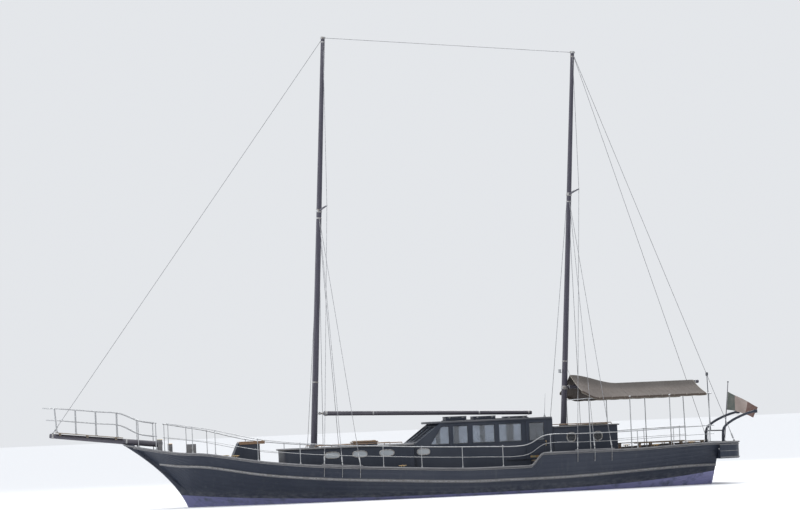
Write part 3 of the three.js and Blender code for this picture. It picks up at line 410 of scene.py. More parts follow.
class Recipe:
    """A material whose nodes are added one by one and linked to its shader."""

    def __init__(self, name, **sockets):
        self.material = bpy.data.materials.new(name)
        self.material.use_nodes = True
        self.tree = self.material.node_tree
        self.shader = self.tree.nodes["Principled BSDF"]
        for socket, value in sockets.items():
            self.shader.inputs[socket.replace("_", " ")].default_value = value
        self.coordinates = self.tree.nodes.new("ShaderNodeTexCoord").outputs["Object"]

    def node(self, kind, inputs=(), **settings):
        """A new node, its inputs linked or set and its settings given."""
        made = self.tree.nodes.new(kind)
        for key, value in settings.items():
            setattr(made, key, value)
        for key, value in dict(inputs).items():
            if isinstance(value, bpy.types.NodeSocket):
                self.tree.links.new(value, made.inputs[key])
            else:
                made.inputs[key].default_value = value
        return made

    def scaled(self, scale):
        """Object coordinates times a scale on each axis."""
        return self.node("ShaderNodeMapping", {"Vector": self.coordinates, "Scale": scale}).outputs["Vector"]

    def noise(self, scale, stretch=(1, 1, 1), detail=4.0):
        """Cloudy noise, drawn out along an axis where the stretch is under 1."""
        inputs = {"Vector": self.scaled(stretch), "Scale": scale, "Detail": detail, "Roughness": 0.55}
        return self.node("ShaderNodeTexNoise", inputs).outputs["Fac"]

    def math(self, operation, a, b=0.0):
        """One sum or other operation on two values."""
        return self.node("ShaderNodeMath", {0: a, 1: b}, operation=operation).outputs[0]

    def times(self, a, b):
        """The product of two values."""
        return self.math("MULTIPLY", a, b)

    def span(self, value, low, high, to_low=0.0, to_high=1.0):
        """The value's stretch from low to high, carried over to another stretch and held at its ends."""
        inputs = {"Value": value, "From Min": low, "From Max": high, "To Min": to_low, "To Max": to_high}
        return self.node("ShaderNodeMapRange", inputs).outputs["Result"]

    def mix(self, amount, a, b):
        """Colour a where the amount is 0, and b where it is 1."""
        made = self.node("ShaderNodeMix", {0: amount}, data_type="RGBA")
        for index, value in ((6, a), (7, b)):
            if isinstance(value, bpy.types.NodeSocket):
                self.tree.links.new(value, made.inputs[index])
            else:
                made.inputs[index].default_value = (*value[:3], 1)
        return made.outputs[2]

    def axis(self, letter):
        """One of the object coordinates."""
        return self.node("ShaderNodeSeparateXYZ", {"Vector": self.coordinates}).outputs[letter]

    def finish(self, color, roughness, height=None, strength=0.3, distance=0.002):
        """The material, its shader given a colour, a roughness and the bump of a height."""
        self.tree.links.new(color, self.shader.inputs["Base Color"])
        self.tree.links.new(roughness, self.shader.inputs["Roughness"])
        if height is not None:
            inputs = {"Height": height, "Strength": strength, "Distance": distance}
            bump = self.node("ShaderNodeBump", inputs).outputs["Normal"]
            self.tree.links.new(bump, self.shader.inputs["Normal"])
        return self.material


def weathered_paint(name, color, pale, chalk, rough):
    """Paint with broad faded patches, fine brush marks, and run marks down the sides."""
    recipe = Recipe(name, Specular_IOR_Level=0.28)
    patches = recipe.span(recipe.noise(0.7, detail=5), 0.42, 0.68)
    runs = recipe.span(recipe.noise(9.0, (1, 1, 0.06)), 0.55, 0.8)
    brush = recipe.noise(60.0)
    faded = recipe.mix(recipe.times(patches, chalk), color, pale)
    streaked = recipe.mix(recipe.times(runs, chalk * 0.7), faded, pale)
    return recipe.finish(streaked, recipe.span(brush, 0.3, 0.7, *rough), brush, 0.25, 0.0015)


def planked_wood(name, dark, light, width):
    """Planks laid fore and aft, each its own tone with grain along it, and a dark seam at every width."""
    recipe = Recipe(name, Specular_IOR_Level=0.3)
    place = recipe.math("DIVIDE", recipe.axis("Y"), width)
    number = recipe.math("FLOOR", place)
    within = recipe.math("FRACT", place)
    seam = recipe.math("GREATER_THAN", recipe.math("ABSOLUTE", recipe.math("SUBTRACT", within, 0.5)), 0.47)
    tone = recipe.node("ShaderNodeTexWhiteNoise", {"W": number}, noise_dimensions="1D").outputs["Value"]
    grain = recipe.noise(45.0, (0.04, 1, 1))
    worn = recipe.span(recipe.noise(1.3, detail=5), 0.4, 0.7)
    shade = recipe.math("ADD", recipe.times(grain, 0.6), recipe.times(tone, 0.35))
    body = recipe.mix(shade, dark, light)
    aged = recipe.mix(recipe.times(worn, 0.35), body, (0.24, 0.235, 0.22))
    height = recipe.math("SUBTRACT", recipe.times(grain, 0.3), seam)
    caulked = recipe.mix(seam, aged, (0.015, 0.014, 0.013))
    return recipe.finish(caulked, recipe.span(grain, 0.3, 0.7, 0.55, 0.85), height, 0.4, 0.003)


def grained_wood(name, dark, light, grain_along, rough, coat=0.0):
    """Solid timber: long streaks along the grain with darker checks, and a worn sheen."""
    recipe = Recipe(name, Specular_IOR_Level=0.35, Coat_Weight=coat)
    streaks = recipe.noise(30.0, grain_along, detail=6)
    checks = recipe.span(recipe.noise(75.0, grain_along, detail=2), 0.62, 0.72)
    body = recipe.mix(recipe.span(streaks, 0.3, 0.7), dark, light)
    checked = recipe.mix(recipe.times(checks, 0.6), body, tuple(0.45 * value for value in dark))
    height = recipe.math("SUBTRACT", streaks, checks)
    return recipe.finish(checked, recipe.span(streaks, 0.3, 0.7, *rough), height, 0.3, 0.002)


def metal(name, color, dull, rough, metallic=1.0):
    """Metal with cloudy dulled patches and fine polishing lines."""
    recipe = Recipe(name, Metallic=metallic)
    clouds = recipe.span(recipe.noise(12.0, detail=6), 0.4, 0.7)
    lines = recipe.noise(220.0, (1, 1, 0.2))
    toned = recipe.mix(clouds, color, dull)
    return recipe.finish(toned, recipe.span(clouds, 0, 1, *rough), lines, 0.12, 0.0005)


def canvas(name, color, shade, thread=0.004, sheen=0.3, ridge_shade=False):
    """Woven cloth: two crossed thread waves, faded patches, damp marks, and painted shade beside a ridge at y
    = 0.
    """
    recipe = Recipe(name, Sheen_Weight=sheen, Specular_IOR_Level=0.2)
    warp = recipe.math("SINE", recipe.times(recipe.axis("X"), 2 * math.pi / thread))
    weft = recipe.math("SINE", recipe.times(recipe.axis("Y"), 2 * math.pi / thread))
    weave = recipe.times(warp, weft)
    patches = recipe.span(recipe.noise(1.6, detail=6), 0.38, 0.7)
    fine = recipe.noise(25.0)
    toned = recipe.mix(recipe.times(patches, 0.6), color, shade)
    speckled = recipe.mix(recipe.times(fine, 0.25), toned, tuple(0.7 * value for value in color))
    if ridge_shade:
        # Painted shade: beside the ridge at y = 0 the cloth is darkened to 45 % of its colour, fading out
        # from 0.4 to 0.95 m across
        out_of_ridge_shade = recipe.span(recipe.math("ABSOLUTE", recipe.axis("Y")), 0.4, 0.95)
        speckled = recipe.mix(out_of_ridge_shade, tuple(0.45 * value for value in color), speckled)
    return recipe.finish(speckled, recipe.span(fine, 0.3, 0.7, 0.75, 0.95), weave, 0.25, 0.001)


def hull_paint():
    """Slate topsides over a violet boot-top, which sweeps up towards bow and stern and is painted lighter
    towards the stern as painted light under the overhanging counter, with salt at its edge.
    """
    recipe = Recipe("hull_topside_paint", Specular_IOR_Level=0.3, Coat_Weight=0.04)
    x, z = recipe.axis("X"), recipe.axis("Z")
    forward = recipe.math("POWER", recipe.math("MAXIMUM", recipe.math("DIVIDE", x, 9.8), 0.0), 3.0)
    aft = recipe.math("POWER", recipe.math("MAXIMUM", recipe.math("DIVIDE", x, -9.8), 0.0), 3.0)
    line = recipe.math("ADD", recipe.times(forward, 0.34), recipe.times(aft, 0.4))
    over = recipe.math("SUBTRACT", z, recipe.math("ADD", line, 0.1))
    topside = recipe.span(over, -0.006, 0.006)
    patches = recipe.span(recipe.noise(0.6, detail=5), 0.42, 0.7)
    runs = recipe.span(recipe.noise(7.0, (1, 1, 0.05), detail=5), 0.56, 0.82)
    splashed = recipe.span(over, 0.0, 0.3, 1.0, 0.0)
    salt = recipe.times(splashed, recipe.span(recipe.noise(5.0, (1, 1, 2)), 0.4, 0.7))
    slate, chalk = (0.024, 0.03, 0.047), (0.06, 0.067, 0.085)
    faded = recipe.mix(recipe.times(patches, 0.3), slate, chalk)
    streaked = recipe.mix(recipe.times(runs, 0.25), faded, (0.1, 0.1, 0.105))
    salted = recipe.mix(recipe.times(salt, 0.4), streaked, (0.17, 0.17, 0.18))
    # Painted light: the boot-top grows lighter towards the stern, under the overhanging counter
    violet = recipe.mix(recipe.math("MINIMUM", aft, 1.0), (0.125, 0.13, 0.25), (0.28, 0.28, 0.48))
    weed = recipe.mix(recipe.span(recipe.noise(3.0, detail=6), 0.5, 0.75), violet, (0.07, 0.085, 0.11))
    brush = recipe.noise(40.0, (0.15, 1, 1))
    smoother = recipe.times(topside, -0.04)
    rough = recipe.math("ADD", recipe.span(brush, 0.3, 0.7, 0.36, 0.52), smoother)
    return recipe.finish(recipe.mix(topside, weed, salted), rough, brush, 0.3, 0.002)


def window_pane(name, tint):
    """Pane that lets light through, with a film of dried salt."""
    recipe = Recipe(name, Transmission_Weight=0.85, IOR=1.45)
    film = recipe.span(recipe.noise(3.0, detail=6), 0.45, 0.8)
    clouded = recipe.mix(film, tint, tuple(0.75 * value for value in tint))
    return recipe.finish(clouded, recipe.span(film, 0, 1, 0.04, 0.09))


def laid_rope(name, color, dark):
    """Laid rope: slanting strands as a bumped wave, with painted shade darkening the grooves between them."""
    recipe = Recipe(name, Specular_IOR_Level=0.2)
    inputs = {"Vector": recipe.coordinates, "Scale": 22.0, "Distortion": 0.6}
    strands = recipe.node("ShaderNodeTexWave", inputs, bands_direction="DIAGONAL").outputs["Fac"]
    fuzz = recipe.noise(160.0)
    # Painted shade: the grooves between the strands take the dark tone
    twisted = recipe.mix(strands, dark, color)
    return recipe.finish(twisted, recipe.span(fuzz, 0.3, 0.7, 0.7, 0.95), strands, 0.5, 0.003)


hull_mat = hull_paint()
bottom_mat = weathered_paint("antifouling", (0.105, 0.11, 0.215), (0.08, 0.1, 0.12), 0.7, (0.6, 0.85))
house_mat = weathered_paint("house_paint", (0.022, 0.028, 0.043), (0.062, 0.07, 0.088), 0.3, (0.4, 0.62))
roof_mat = weathered_paint("roof_paint", (0.06, 0.064, 0.075), (0.13, 0.13, 0.14), 0.5, (0.5, 0.8))
rail_mat = grained_wood("rail_timber", (0.105, 0.105, 0.115), (0.21, 0.21, 0.215), (0.05, 1, 1), (0.4, 0.65))
deck_mat = planked_wood("deck_planks", (0.13, 0.105, 0.08), (0.26, 0.215, 0.165), 0.085)
bench_mat = planked_wood("bench_slats", (0.13, 0.1, 0.07), (0.27, 0.21, 0.15), 0.11)
teak_mat = grained_wood(
    "varnished_teak", (0.12, 0.07, 0.04), (0.25, 0.15, 0.08), (0.06, 1, 1), (0.25, 0.45), 0.3)
spar_mat = grained_wood(
    "spar_timber", (0.026, 0.025, 0.04), (0.062, 0.058, 0.08), (1, 1, 0.04), (0.35, 0.55), 0.1)
boom_mat = grained_wood(
    "boom_timber", (0.034, 0.032, 0.046), (0.08, 0.075, 0.09), (0.04, 1, 1), (0.35, 0.55), 0.1)
steel_mat = metal("stainless_tube", (0.4, 0.41, 0.42), (0.3, 0.3, 0.31), (0.3, 0.5))
wire_mat = metal("stay_wire", (0.28, 0.285, 0.3), (0.18, 0.18, 0.19), (0.45, 0.65))
bronze_mat = metal("cast_bronze", (0.42, 0.26, 0.12), (0.2, 0.24, 0.17), (0.3, 0.6))
iron_mat = metal("galvanised_iron", (0.34, 0.35, 0.36), (0.2, 0.17, 0.15), (0.45, 0.75), 0.8)
glass_mat = window_pane("window_glass", (0.5, 0.54, 0.6))
night_mat = window_pane("dark_pane", (0.1, 0.11, 0.13))
port_mat = weathered_paint("curtained_pane", (0.3, 0.33, 0.36), (0.42, 0.44, 0.46), 0.5, (0.06, 0.16))
# Awning cloth, with painted shade along its ridge
awning_mat = canvas("awning_canvas", (0.085, 0.068, 0.058), (0.056, 0.046, 0.042), sheen=0.04, ridge_shade=True)
seat_mat = canvas("seat_cloth", (0.07, 0.06, 0.06), (0.05, 0.045, 0.045), 0.003)
plastic_mat = weathered_paint("grey_moulding", (0.3, 0.31, 0.33), (0.42, 0.42, 0.42), 0.4, (0.4, 0.6))
# Rope, its dark tone the painted shade in the grooves between strands
rope_mat = laid_rope("three_strand_rope", (0.42, 0.39, 0.33), (0.16, 0.15, 0.13))
rubber_mat = weathered_paint("black_rubber", (0.02, 0.02, 0.021), (0.06, 0.06, 0.06), 0.4, (0.6, 0.85))

# Material and slot that several pieces share
STEEL = (steel_mat, "stainless")
IRON = (iron_mat, "stainless")
STAY_WIRE = (wire_mat, "stainless")
HOUSE_PAINT = (house_mat, "house_paint")
ROOF_PAINT = (roof_mat, "house_paint")
RAIL_PAINT = (rail_mat, "rail_paint")
BRONZE = (bronze_mat, "bronze")
TEAK = (teak_mat, "teak_deck")
RUBBER = (rubber_mat, "grey_plastic")
PLASTIC = (plastic_mat, "grey_plastic")
ROPE = (rope_mat, "awning_cloth")
SPAR = (boom_mat, "spar_paint")

# Which of the boat's own nodes takes which material
node_finishes = {
    hull_mat: ["hull", "bulwark_port", "bulwark_starboard", "stern_gallery", "keel"],
    bottom_mat: ["rudder"],
    rail_mat: [
        "cap_rail_port", "cap_rail_starboard", "rub_strake_port", "rub_strake_starboard", "taffrail",
        "windlass_and_bitts",
    ],
    deck_mat: ["main_deck", "quarter_deck", "bowsprit_walkway"],
    bench_mat: ["bench_port", "bench_starboard"],
    teak_mat: ["companion_slide", "skylight_lid", "helm_wheel"],
    house_mat: [
        "fore_companion", "trunk_cabin", "wheelhouse_front", "wheelhouse_port", "wheelhouse_starboard",
        "wheelhouse_aft", "door_port", "door_starboard", "aft_deckhouse", "helm_console", "davits",
        "roof_lockers",
    ],
    roof_mat: ["wheelhouse_roof"],
    spar_mat: ["foremast", "mizzenmast", "flagstaff"],
    boom_mat: ["main_boom", "mizzen_boom", "bowsprit"],
    steel_mat: ["pulpit_rail", "guard_rail_port", "guard_rail_starboard", "awning_frame", "windlass_drum"],
    wire_mat: [
        "forestay", "head_stays", "shrouds_fore_port", "shrouds_fore_starboard", "shrouds_mizzen_port",
        "shrouds_mizzen_starboard",
    ],
    bronze_mat: ["propeller"],
    glass_mat: [
        "wheelhouse_glass_front", "wheelhouse_glass_port", "wheelhouse_glass_starboard", "door_glass_port",
        "door_glass_starboard",
    ],
    awning_mat: ["awning", "flag"],
    seat_mat: ["helm_seat"],
    plastic_mat: ["antenna"],
}
for material, names in node_finishes.items():
    for name in names:
        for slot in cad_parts[name].material_slots:
            slot.material = material

# Hull

PLANKS = 15
SEAM_DEPTH = 0.004
KEEL_SIDE = 0.055
# The cockpit's well, which the quarterdeck leaves open
WELL = {"aft": -3.65, "fore": -2.76, "half": 1.6, "floor": 0.68}


def rail_under(x):
    """Underside of the cap rail."""
    return rail_z(x) - RAIL["height"]


def make_hull():
    """Carvel planking as one closed skin over cross sections.

    Up a side, z = low + (top - low) v and y = half_breadth(x, z), less 4 mm at seams, where 15 v is whole.
    Over the bulwark's top it goes 60 mm in, down to under the deck planks, and across to the centreline.
    """
    steps = [WELL["aft"], WELL["fore"], QUARTER_AT]
    beside_steps = [x + side for x in steps for side in (-0.001, 0.001)]
    xs = np.sort(np.concatenate([np.linspace(TRANSOM, 11.95, 175), beside_steps]))
    share = np.add.outer(np.arange(PLANKS), [0.0, 0.06, 0.5, 0.94]).ravel() / PLANKS
    share = np.append(share, 1.0)
    seam = np.minimum(share * PLANKS % 1.0, 1.0 - share * PLANKS % 1.0) < 0.03
    low, top = bottom_z(xs)[:, None], rail_under(xs)[:, None]
    z = low + (top - low) * share
    y = np.maximum(half_breadth(xs[:, None], z) - SEAM_DEPTH * seam, KEEL_SIDE)
    side = np.stack([np.broadcast_to(xs[:, None], z.shape), y, z], axis=-1)
    under = np.clip(deck_z(xs) - 0.05, bottom_z(xs) + 0.004, rail_under(xs) - 0.01)
    inner_top = np.maximum(half_breadth(xs, rail_under(xs)) - PLANK_WALL, 0.01)
    inner_low = np.maximum(half_breadth(xs, under) - PLANK_WALL, 0.008)
    edge = np.minimum(WELL["half"], inner_low * 0.9)
    open_here = (xs > WELL["aft"]) & (xs < WELL["fore"])
    floor = np.where(open_here, WELL["floor"], under)
    inner = [(inner_top, rail_under(xs)), (inner_low, under), (edge, under), (edge, floor), (0 * xs, floor)]
    inside = np.stack([np.stack([xs, half, height], axis=-1) for half, height in inner], axis=1)
    port = np.concatenate([side, inside], axis=1)
    starboard = (port * np.array([1, -1, 1.0]))[:, -2::-1]
    shape = skin(np.concatenate([port, starboard], axis=1))
    planking = piece("hull_planking", [shape], hull_mat, "hull_paint", crease=50)
    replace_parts(planking, "hull", "bulwark_port", "bulwark_starboard")


def run_along(xs, section, crown, taper=0.0):
    """Moulding along the hull: at each x the section's ring of (out, up) goes on the crown's (y, z) there.

    Over the taper's length before its fore end it thins out to a tenth.
    """
    xs = np.asarray(xs, float)
    y, z = crown(xs)
    section = np.asarray(section, float)
    thin = np.clip((xs[-1] - xs) / taper, 0.1, 1.0) if taper else np.ones(len(xs))
    rings = np.stack([
        np.broadcast_to(xs[:, None], (len(xs), len(section))),
        np.maximum(y[:, None] + np.outer(thin, section[:, 0]), 0.003), z[:, None] + section[:, 1],
    ], axis=-1)
    return skin(rings)


def rounded(width, height, corner, steps=4):
    """Ring round a box from (0, 0) to (width, height), its corners quarter circles of the given radius."""
    ring = []
    for turn, (x, y) in enumerate([(width, height), (0, height), (0, 0), (width, 0)]):
        centre = np.array([x - corner if x else corner, y - corner if y else corner])
        for step in range(steps + 1):
            angle = (turn + step / steps) * math.pi / 2
            ring.append(centre + corner * np.array([math.cos(angle), math.sin(angle)]))
    return np.array(ring)


def at_strake(x):
    """Half breadth and height of the rubbing strake: 0.5 m under the sheer, and rising to the stern."""
    z = along(SHEER, 1, x) - 0.5 + 0.23 * ease(-3.0, -9.5, x)
    return half_breadth(x, z), z


def make_rails():
    """Cap rails with rounded edges, rubbing strakes with a metal half round, and a bead under the rail."""
    cap_xs = np.linspace(TRANSOM, 12.1, 180)
    wide = PLANK_WALL + RAIL["out"] + RAIL["inward"]
    cap = rounded(wide, RAIL["height"], 0.022) - np.array([PLANK_WALL + RAIL["inward"], RAIL["height"]])
    strake_xs = np.linspace(TRANSOM, 10.85, 150)
    belly = [(0.06 * math.cos(a), 0.058 * math.sin(a)) for a in np.linspace(-math.pi / 2, math.pi / 2, 11)]
    strake = [*belly, (-0.03, 0.058), (-0.03, -0.058)]
    fore_taper = 0.5
    for name, side in SIDES:
        shape = side(run_along(cap_xs, cap, at_rail))
        made = piece("cap_rail_" + name + "_rounded", [shape], *RAIL_PAINT)
        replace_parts(made, "cap_rail_" + name)
    for name, side in SIDES:
        shape = side(run_along(strake_xs, strake, at_strake, fore_taper))
        made = piece("rub_strake_" + name + "_half_round", [shape], *RAIL_PAINT)
        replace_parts(made, "rub_strake_" + name)
    strip = 0.014 * circle(8) + [0.058, 0]
    strip_shape = run_along(strake_xs, strip, at_strake, fore_taper)
    piece("rub_strake_metal", both([strip_shape]), *IRON)
    bead = 0.018 * circle(8) - [0, 0.085]
    bead_xs = np.linspace(TRANSOM, 11.8, 150)
    piece("sheer_bead", both([run_along(bead_xs, bead, at_rail)]), *RAIL_PAINT)


def make_timber_heads():
    """Heads of the frames in the bulwarks: blocks sheared to lean with the bulwark's inner wall."""
    heads = []
    for x in np.arange(-2.2, 9.4, 0.8):
        low, high = deck_z(x) - 0.02, rail_under(x) - 0.002
        y_low, y_high = half_breadth(x, np.array([low, high])) - PLANK_WALL
        points, faces = block((x - 0.045, -0.07, low), (x + 0.045, 0.02, high), 0.008)
        shear = y_low + (y_high - y_low) * (points[:, 2] - low) / (high - low)
        heads.append((points + np.outer(shear, [0, 1, 0]), faces))
    piece("bulwark_timber_heads", both(heads), house_mat, "hull_paint")


make_hull()
make_rails()
make_timber_heads()

# Masts and booms

FOREMAST = {"foot": (5.08, 2.0), "length": 15.29, "rake": 0.0647, "radius": (0.12, 0.075), "spreader": 8.8}
MIZZEN = {"foot": (-4.378, 2.4), "length": 14.08, "rake": 0.0706, "radius": (0.11, 0.07), "spreader": 8.7}
SPREADER_TIP = (-0.16, 1.12, 0.11)
BOOM = {"heel": (4.808478, 0, 3.26), "length": 8.0, "end_z": 2.955, "radius": (0.086, 0.072)}
SPRIT = {"tip": (14.85, 2.86), "heel_x": 10.7, "slope": 0.12, "radius": (0.11, 0.085)}


def mast_at(mast, up):
    """Point on a mast's centreline at a length above its foot."""
    return np.array([mast["foot"][0] - mast["rake"] * up, 0.0, mast["foot"][1] + up])


def mast_radius(mast, up):
    """Radius there: even taper from foot to head, with 6 % of entasis in the middle."""
    t = up / mast["length"]
    return mast["radius"][0] + (mast["radius"][1] - mast["radius"][0]) * t + 0.004 * math.sin(math.pi * t)


def mast_ring(mast, up, height, out, lip=0.006):
    """Band round a mast with slightly rounded edges."""
    low, high = mast_at(mast, up), mast_at(mast, up + height)
    radius = mast_radius(mast, up) + out
    path = [low, low + (high - low) * 0.08, low + (high - low) * 0.92, high]
    return pipe(path, [radius - lip, radius, radius, radius - lip], 32)


def make_mast(name, mast):
    """Round spar with a flared foot collar, spreaders with rounded tips, and a domed head."""
    ups = np.linspace(0.002, mast["length"], 40)
    pole = pipe([mast_at(mast, up) for up in ups], [mast_radius(mast, up) for up in ups], 32)
    spread = mast_at(mast, mast["spreader"])
    arms = []
    for side in (1, -1):
        tip = spread + np.array(SPREADER_TIP) * [1, side, 1]
        middle = (spread + tip) / 2 + [0, 0, 0.01]
        arm = [spread, middle, tip, tip + (tip - middle) * 0.02]
        arms.append(pipe(arm, [0.042, 0.036, 0.027, 0.015], 16))
    mast_piece = piece(name + "_spar", [pole, *arms], spar_mat, "spar_paint")
    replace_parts(mast_piece, name)
    bands = [mast_ring(mast, up, 0.05, 0.008) for up in (2.4, mast["spreader"] - 0.3, mast["length"] - 0.2)]
    collar = [mast_ring(mast, 0.002, 0.05, 0.062), mast_ring(mast, 0.05, 0.045, 0.04)]
    saddle = [mast_ring(mast, mast["spreader"] - 0.06, 0.12, 0.014)]
    piece(name + "_bands", [*bands, *saddle], *IRON)
    piece(name + "_foot_collar", collar, *RAIL_PAINT)
    head = mast_at(mast, mast["length"] - 0.06)
    profile = [(0.08, 0), (0.097, 0.01), (0.097, 0.06), (0.08, 0.082), (0.03, 0.09)]
    piece(name + "_head_cap", [turned(profile, head, (-mast["rake"], 0, 1))], *IRON)


make_mast("foremast", FOREMAST)
make_mast("mizzenmast", MIZZEN)

# Rails of tube


def guard_y(x):
    """Half breadth of the guard rail: 8 mm outside the planking, and never inside the walkway's edge."""
    return np.maximum(rail_y(x) + 0.008, 0.262)


def guard_height(x):
    """Guard rail over the cap rail: 0.62 m, plus smooth steps of 0.13 m and 0.3 m going forward."""
    return 0.62 + 0.13 * ease(-3.2, -2.0, x) + 0.3 * ease(6.5, 11.8, x)


GUARD_POSTS = [10.55, 9.7, 8.9, 7.4, 5.9, 2.9, 1.5, 0.0, -1.5, -3.3, -6.6, -8.0, -9.35]
GUARD_PATH = [10.6, 9.8, 8.9, 7.4, 5.9, 4.4, 2.9, 1.2, -0.7, -2.3, -3.15, -4.5, -6.0, -8.0, -9.6]
# Profiles of turned fittings, as rows of (radius, height)
GUARD_TOP = [(0.015, -0.03), (0.023, -0.022), (0.023, 0.018), (0.015, 0.024)]
GUARD_FOOT = [(0.045, 0), (0.045, 0.006), (0.026, 0.014), (0.021, 0.05), (0.015, 0.052)]
PULPIT_FOOT = [(0.05, 0), (0.05, 0.008), (0.028, 0.014), (0.024, 0.05), (0.018, 0.052)]
DAVIT_FOOT = [(0.09, 0), (0.09, 0.012), (0.062, 0.03), (0.05, 0.032)]
SHEAVE = [(0.045, -0.03), (0.055, -0.022), (0.04, 0), (0.055, 0.022), (0.045, 0.03)]
POLE_LAMP = [(0.03, 0), (0.048, 0.012), (0.048, 0.11), (0.04, 0.13), (0.012, 0.14)]
FRAME_JOINT = [(0.02, -0.035), (0.028, -0.03), (0.028, 0.03), (0.02, 0.035)]
FRAME_SOCKET = [(0.06, 0), (0.06, 0.008), (0.031, 0.014), (0.029, 0.09), (0.021, 0.092)]


def make_guard_rails():
    """Two rows of tube on posts, each post in a round foot plate on the cap rail."""
    xs = np.array(GUARD_PATH)
    tubes, feet = [], []
    for part, radius in ((1.0, 0.016), (0.5, 0.009)):
        row = np.stack([xs, guard_y(xs), rail_z(xs) + part * guard_height(xs)], axis=-1)
        tubes.append(tube_bend(row, radius))
    for x in GUARD_POSTS:
        low = np.array([x, guard_y(x), rail_z(x)])
        top = low + [0, 0, guard_height(x)]
        tubes.append(straight(low - [0, 0, 0.02], top, 0.014))
        tubes.append(turned(GUARD_TOP, top))
        feet.append(turned(GUARD_FOOT, low - [0, 0.004, 0.002]))
    for name, side in SIDES:
        railing = piece("guard_rail_" + name + "_tubes", each(side, tubes), *STEEL)
        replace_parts(railing, "guard_rail_" + name)
        piece("guard_rail_" + name + "_feet", each(side, feet), *STEEL)


def sprit_z(x):
    """Height of the bowsprit's axis: a straight slope up to its tip."""
    return SPRIT["tip"][1] - (SPRIT["tip"][0] - x) * SPRIT["slope"]


def walk_top(x):
    """Top of the walkway's planks over the bowsprit."""
    return sprit_z(x) + SPRIT["radius"][0] + 0.038


def pulpit_point(x, part):
    """Point on the pulpit at a share of its height: over the walkway, and aft of it over the cap rail."""
    if x < 12.15:
        return np.array([x, guard_y(x), rail_z(x) + part * 0.98])
    return np.array([x, 0.27, walk_top(x) + part * 0.88])


def pulpit_row(part, lean):
    """One rail round the walkway's end: down the port side, round the nose and back on the starboard side."""
    port = np.array([pulpit_point(x, part) for x in (10.95, 11.55, 12.25, 13.0, 13.8, 14.5)])
    nose = np.array([14.76 + lean, 0.18, port[-1][2] + 0.025])
    tip = np.array([14.84 + lean, 0.0, port[-1][2] + 0.03])
    half = np.vstack([port, nose])
    return np.vstack([half, tip, half[::-1] * [1, -1, 1]])


def make_pulpit():
    """Two bent rails round the walkway and back over the bow on six pairs of posts, with foot plates."""
    rows = [tube_bend(pulpit_row(1.0, 0.2), 0.021, 16), tube_bend(pulpit_row(0.5, 0.09), 0.019, 16)]
    posts, feet = [], []
    for x in (10.98, 11.6, 12.35, 13.12, 13.86, 14.56):
        low, high = pulpit_point(x, 0.0), pulpit_point(x, 1.0)
        if x > 14.5:
            high = np.array([x + 0.06, 0.215, high[2]])
        posts.append(straight(low, high, 0.017))
        feet.append(turned(PULPIT_FOOT, low))
    pulpit = piece("pulpit_rail_tubes", [*rows, *both(posts)], *STEEL)
    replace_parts(pulpit, "pulpit_rail")
    piece("pulpit_rail_feet", both(feet), *STEEL)


DAVIT_Y = 1.4
DAVIT_PATH = [(-10.15, 1.2905), (-10.15, 1.75), (-10.21, 2.08), (-10.52, 2.33), (-11.0, 2.54), (-11.4, 2.65)]


def make_davits():
    """Bent davit arms with a head sheave each, a tie bar, and the light pole with its round lamp."""
    arms, plates = [], []
    for side in (1, -1):
        path = [(x, side * DAVIT_Y, z) for x, z in DAVIT_PATH]
        arms.append(tube_bend(path, 0.048, 20))
        y = side * DAVIT_Y
        arms.append(straight((-11.38, y, 2.645), (-11.47, y, 2.665), 0.048, 0.04, 20))
        for cheek in (y - 0.042, y + 0.042):
            plates.append(block((-11.5, cheek - 0.006, 2.58), (-11.38, cheek + 0.006, 2.7), 0.004))
        plates.append(turned(DAVIT_FOOT, (DAVIT_PATH[0][0], y, 1.29)))
        plates.append(turned(SHEAVE, (-11.44, y, 2.63), (0, 1, 0)))
    tie = straight((-10.165, -DAVIT_Y, 1.98), (-10.165, DAVIT_Y, 1.98), 0.024, sides=16)
    pole = straight((-10.165, -0.65, 1.98), (-10.12, -0.65, 4.08), 0.022, 0.014, 14)
    lamp = turned(POLE_LAMP, (-10.12, -0.65, 4.06))
    made = piece("davit_tubes", [*arms, *plates, tie, pole, lamp], *HOUSE_PAINT)
    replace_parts(made, "davits")


AWNING = {"fore": -4.71, "low": -6.5, "aft": -9.41}
FRAME = {"y": 2.18, "z": 3.38, "tube": 0.019, "xs": [-4.95, -6.5, -8.0, -9.5]}


def frame_tube(start, end):
    """One straight tube of the awning's frame."""
    return straight(start, end, FRAME["tube"], sides=16)


def make_awning_frame():
    """Edge tubes on leaning posts, each in a deck socket, and a tie across at both ends."""
    y, z = FRAME["y"], FRAME["z"]
    rails = [frame_tube((-4.76, y, z), (-9.6, y, z))]
    sockets = []
    for x in FRAME["xs"]:
        foot_y = min(y, half_breadth(x, deck_z(x)) - PLANK_WALL - 0.04)
        low = np.array([x, foot_y, deck_z(x) + 0.003])
        rails.append(frame_tube(low, (x, y, z)))
        rails.append(turned(FRAME_JOINT, (x, y, z), (1, 0, 0)))
        sockets.append(turned(FRAME_SOCKET, low))
    ties = [frame_tube((x, -y, z), (x, y, z)) for x in (FRAME["xs"][0], FRAME["xs"][-1])]
    made = piece("awning_frame_tubes", [*both(rails), *ties], *STEEL)
    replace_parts(made, "awning_frame")
    piece("awning_frame_sockets", both(sockets), *STEEL)


make_guard_rails()
make_pulpit()
make_davits()
make_awning_frame()

# Awning and flag

MIZZEN_BOOM = {"heel_x": -4.54, "tip_x": -9.62, "radius": (0.07, 0.062), "top": 3.925}
EYELETS = 0.47


def lifted_ridge(x):
    """Height of the awning over the boom: level aft, and hoisted to the mast at its fore end."""
    return 3.928 + 0.37 * ease(AWNING["low"], AWNING["fore"], x)


